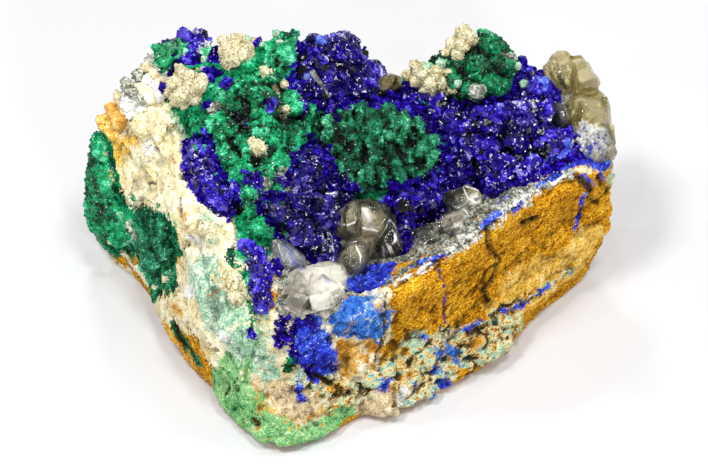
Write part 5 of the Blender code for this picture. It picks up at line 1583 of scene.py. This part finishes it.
def make_grains(number, name, points, quads, weights, material):
    """Small crystals on the crystal's milky parts, some of them blue."""
    places, ups, _ = places_on(points, quads, weights, GRAIN_DENSITY, number)
    random = np.random.default_rng(number)
    sizes = np.array(GRAIN_SIZE) * random.uniform(*GRAIN_RANGE_OF_SIZE, (len(places), 1))
    corners, triangles, _ = grown(RHOMB, places, ups, sizes, GRAIN_LEAN, number)
    zones = {"at_" + layer: np.full(len(corners), -MASK_REACH) for layer in CRYSTAL_ZONES}
    is_blue = np.random.default_rng(number).uniform(0, 1, len(places)) < BLUE_GRAINS[name]
    zones["at_blue"] = np.repeat(np.where(is_blue, MASK_INSIDE, -MASK_REACH), len(RHOMB[0]))
    make_piece(name + "_grains", None, corners, triangles, material, zones)


def waves(points, number, amount, size, seed):
    return amount * rough(points, size, number + seed)


def make_crystal(number, name, materials):
    kind, _, rounding, step = CLEAR[name]
    points, normals, quads, triangles = crystal_body(name)
    points, clearance = sink_into_rock(points, normals, *CRYSTAL_SINKING)
    exposed = np.clip((clearance - CLEAR_GAP) / CRYSTAL_FADE, 0, 1)
    rise = waves(points, number, *WAVES) + steps(points, step, STEP_TILT, number)
    if rounding:
        amount, thickness, length = THIN_LAYERS
        rise += waves(points, number, *FINE_WAVES) + amount * layered(points, thickness, length, number)
    if name == RAISED:
        points = points.mean(0) + RAISED_GROWTH * (points - points.mean(0)) + RAISED_LIFT * UP
    masks = crystal_masks(name, points, triangles, normals)
    points = points + normals * (rise * exposed)[:, None]
    slot, smooth = CLEAR_SLOTS.get(kind, "cerussite_clear"), len(triangles) if rounding else 0
    zones = {"at_" + layer: values for layer, values in masks.items()}
    make_piece(name + "_fine", name, points, triangles, materials[kind], zones, smooth)
    if name in BLUE_GRAINS:
        milky = np.clip(masks["milk"] / MILK_EDGE, 0, 1) * exposed
        make_grains(number, name, points, quads, milky, materials["sparkle"])


# The stage: a floor, the camera of the photograph, soft lamps, and small lamps that only add glints.
FLOOR_HALF, FLOOR_COLOUR, FLOOR_ROUGHNESS = 3.0, (0.62, 0.62, 0.63, 1), 0.6
SENSOR_WIDTH, CLIP_START, CLIP_END = 36.0, 0.01, 20.0
LAMP_AIM = (0.0, 0.0, 0.015)
LAMPS = {
    "key": ((-0.16, -0.14, 0.44), 0.10, 1.2), "second": ((0.10, -0.14, 0.46), 0.10, 0.9),
    "front": ((0.14, -0.42, 0.24), 0.06, 0.8), "side": ((0.38, 0.05, 0.30), 0.05, 0.5),
    "left": ((-0.42, -0.05, 0.28), 0.05, 0.5), "rear": ((-0.06, 0.36, 0.34), 0.08, 0.5),
}
SPARKS = (
    (-0.26, -0.32, 0.30), (-0.08, -0.30, 0.40), (0.24, -0.26, 0.34), (-0.02, 0.10, 0.50), (0.26, 0.08, 0.42),
    (-0.28, 0.10, 0.40),
)
SPARK_SIZE, SPARK_POWER = 0.014, 0.13
SKY_COLOUR, SKY_STRENGTH = (0.97, 0.98, 1.0, 1), 0.2


def make_floor():
    mesh = bpy.data.meshes.new("floor")
    mesh.from_pydata(ring(FLOOR_HALF, FLOOR_HALF, 0), [], [(0, 1, 2, 3)])
    floor = bpy.data.objects.new("floor", mesh)
    bpy.context.scene.collection.objects.link(floor)
    made = Nodes("floor")
    made.shade(Base_Color=FLOOR_COLOUR, Roughness=FLOOR_ROUGHNESS)
    mesh.materials.append(made.material)


def placed(name, data, place, aim):
    """A camera or a lamp at the place, turned to the aim."""
    obj = bpy.data.objects.new(name, data)
    obj.location = place
    obj.rotation_euler = (Vector(aim) - Vector(place)).to_track_quat("-Z", "Y").to_euler()
    bpy.context.scene.collection.objects.link(obj)
    return obj


def make_lamp(name, place, size, power):
    lamp = bpy.data.lights.new(name, "AREA")
    lamp.shape = "DISK"
    lamp.size = size
    lamp.energy = power
    placed(name, lamp, place, LAMP_AIM)


def make_camera():
    camera = bpy.data.cameras.new("camera")
    camera.sensor_width = SENSOR_WIDTH
    camera.lens = SENSOR_WIDTH * PX_PER_MM * SIGHT_DISTANCE / PHOTO_WIDTH
    camera.clip_start, camera.clip_end = CLIP_START, CLIP_END
    bpy.context.scene.camera = placed("camera", camera, EYE * METRES, SIGHT_AIM * METRES)


def make_sky():
    world = bpy.data.worlds.new("studio")
    world.use_nodes = True
    background = world.node_tree.nodes["Background"]
    background.inputs["Color"].default_value = SKY_COLOUR
    background.inputs["Strength"].default_value = SKY_STRENGTH
    bpy.context.scene.world = world


def make_stage():
    make_floor()
    make_camera()
    for name, (place, size, power) in LAMPS.items():
        make_lamp(name, place, size, power)
    for number, place in enumerate(SPARKS):
        make_lamp(f"spark_{number}", place, SPARK_SIZE, SPARK_POWER)
    make_sky()
    bpy.context.scene.view_settings.view_transform = "Standard"


make_stage()
make_rock()
for number, name in enumerate(CRUSTS):
    make_crust(number, name)
make_balls("small_tufts", "tuft", "cream_crystals", ball_places(BALLS, 0.1))
make_balls("pale_tufts", "teal", "malachite", ball_places(PALE_BALLS, -0.2))
places, kinds = shoulder_places()
make_balls("shoulder_lumps", "tan", "cream_crystals", places, kinds, SHOULDER_CELLS, SHOULDER_UNEVENNESS)
materials = {name: clear_material(name, *values) for name, values in CLEAR_KINDS.items()}
for number, name in enumerate(CLEAR):
    make_crystal(number, name, materials)
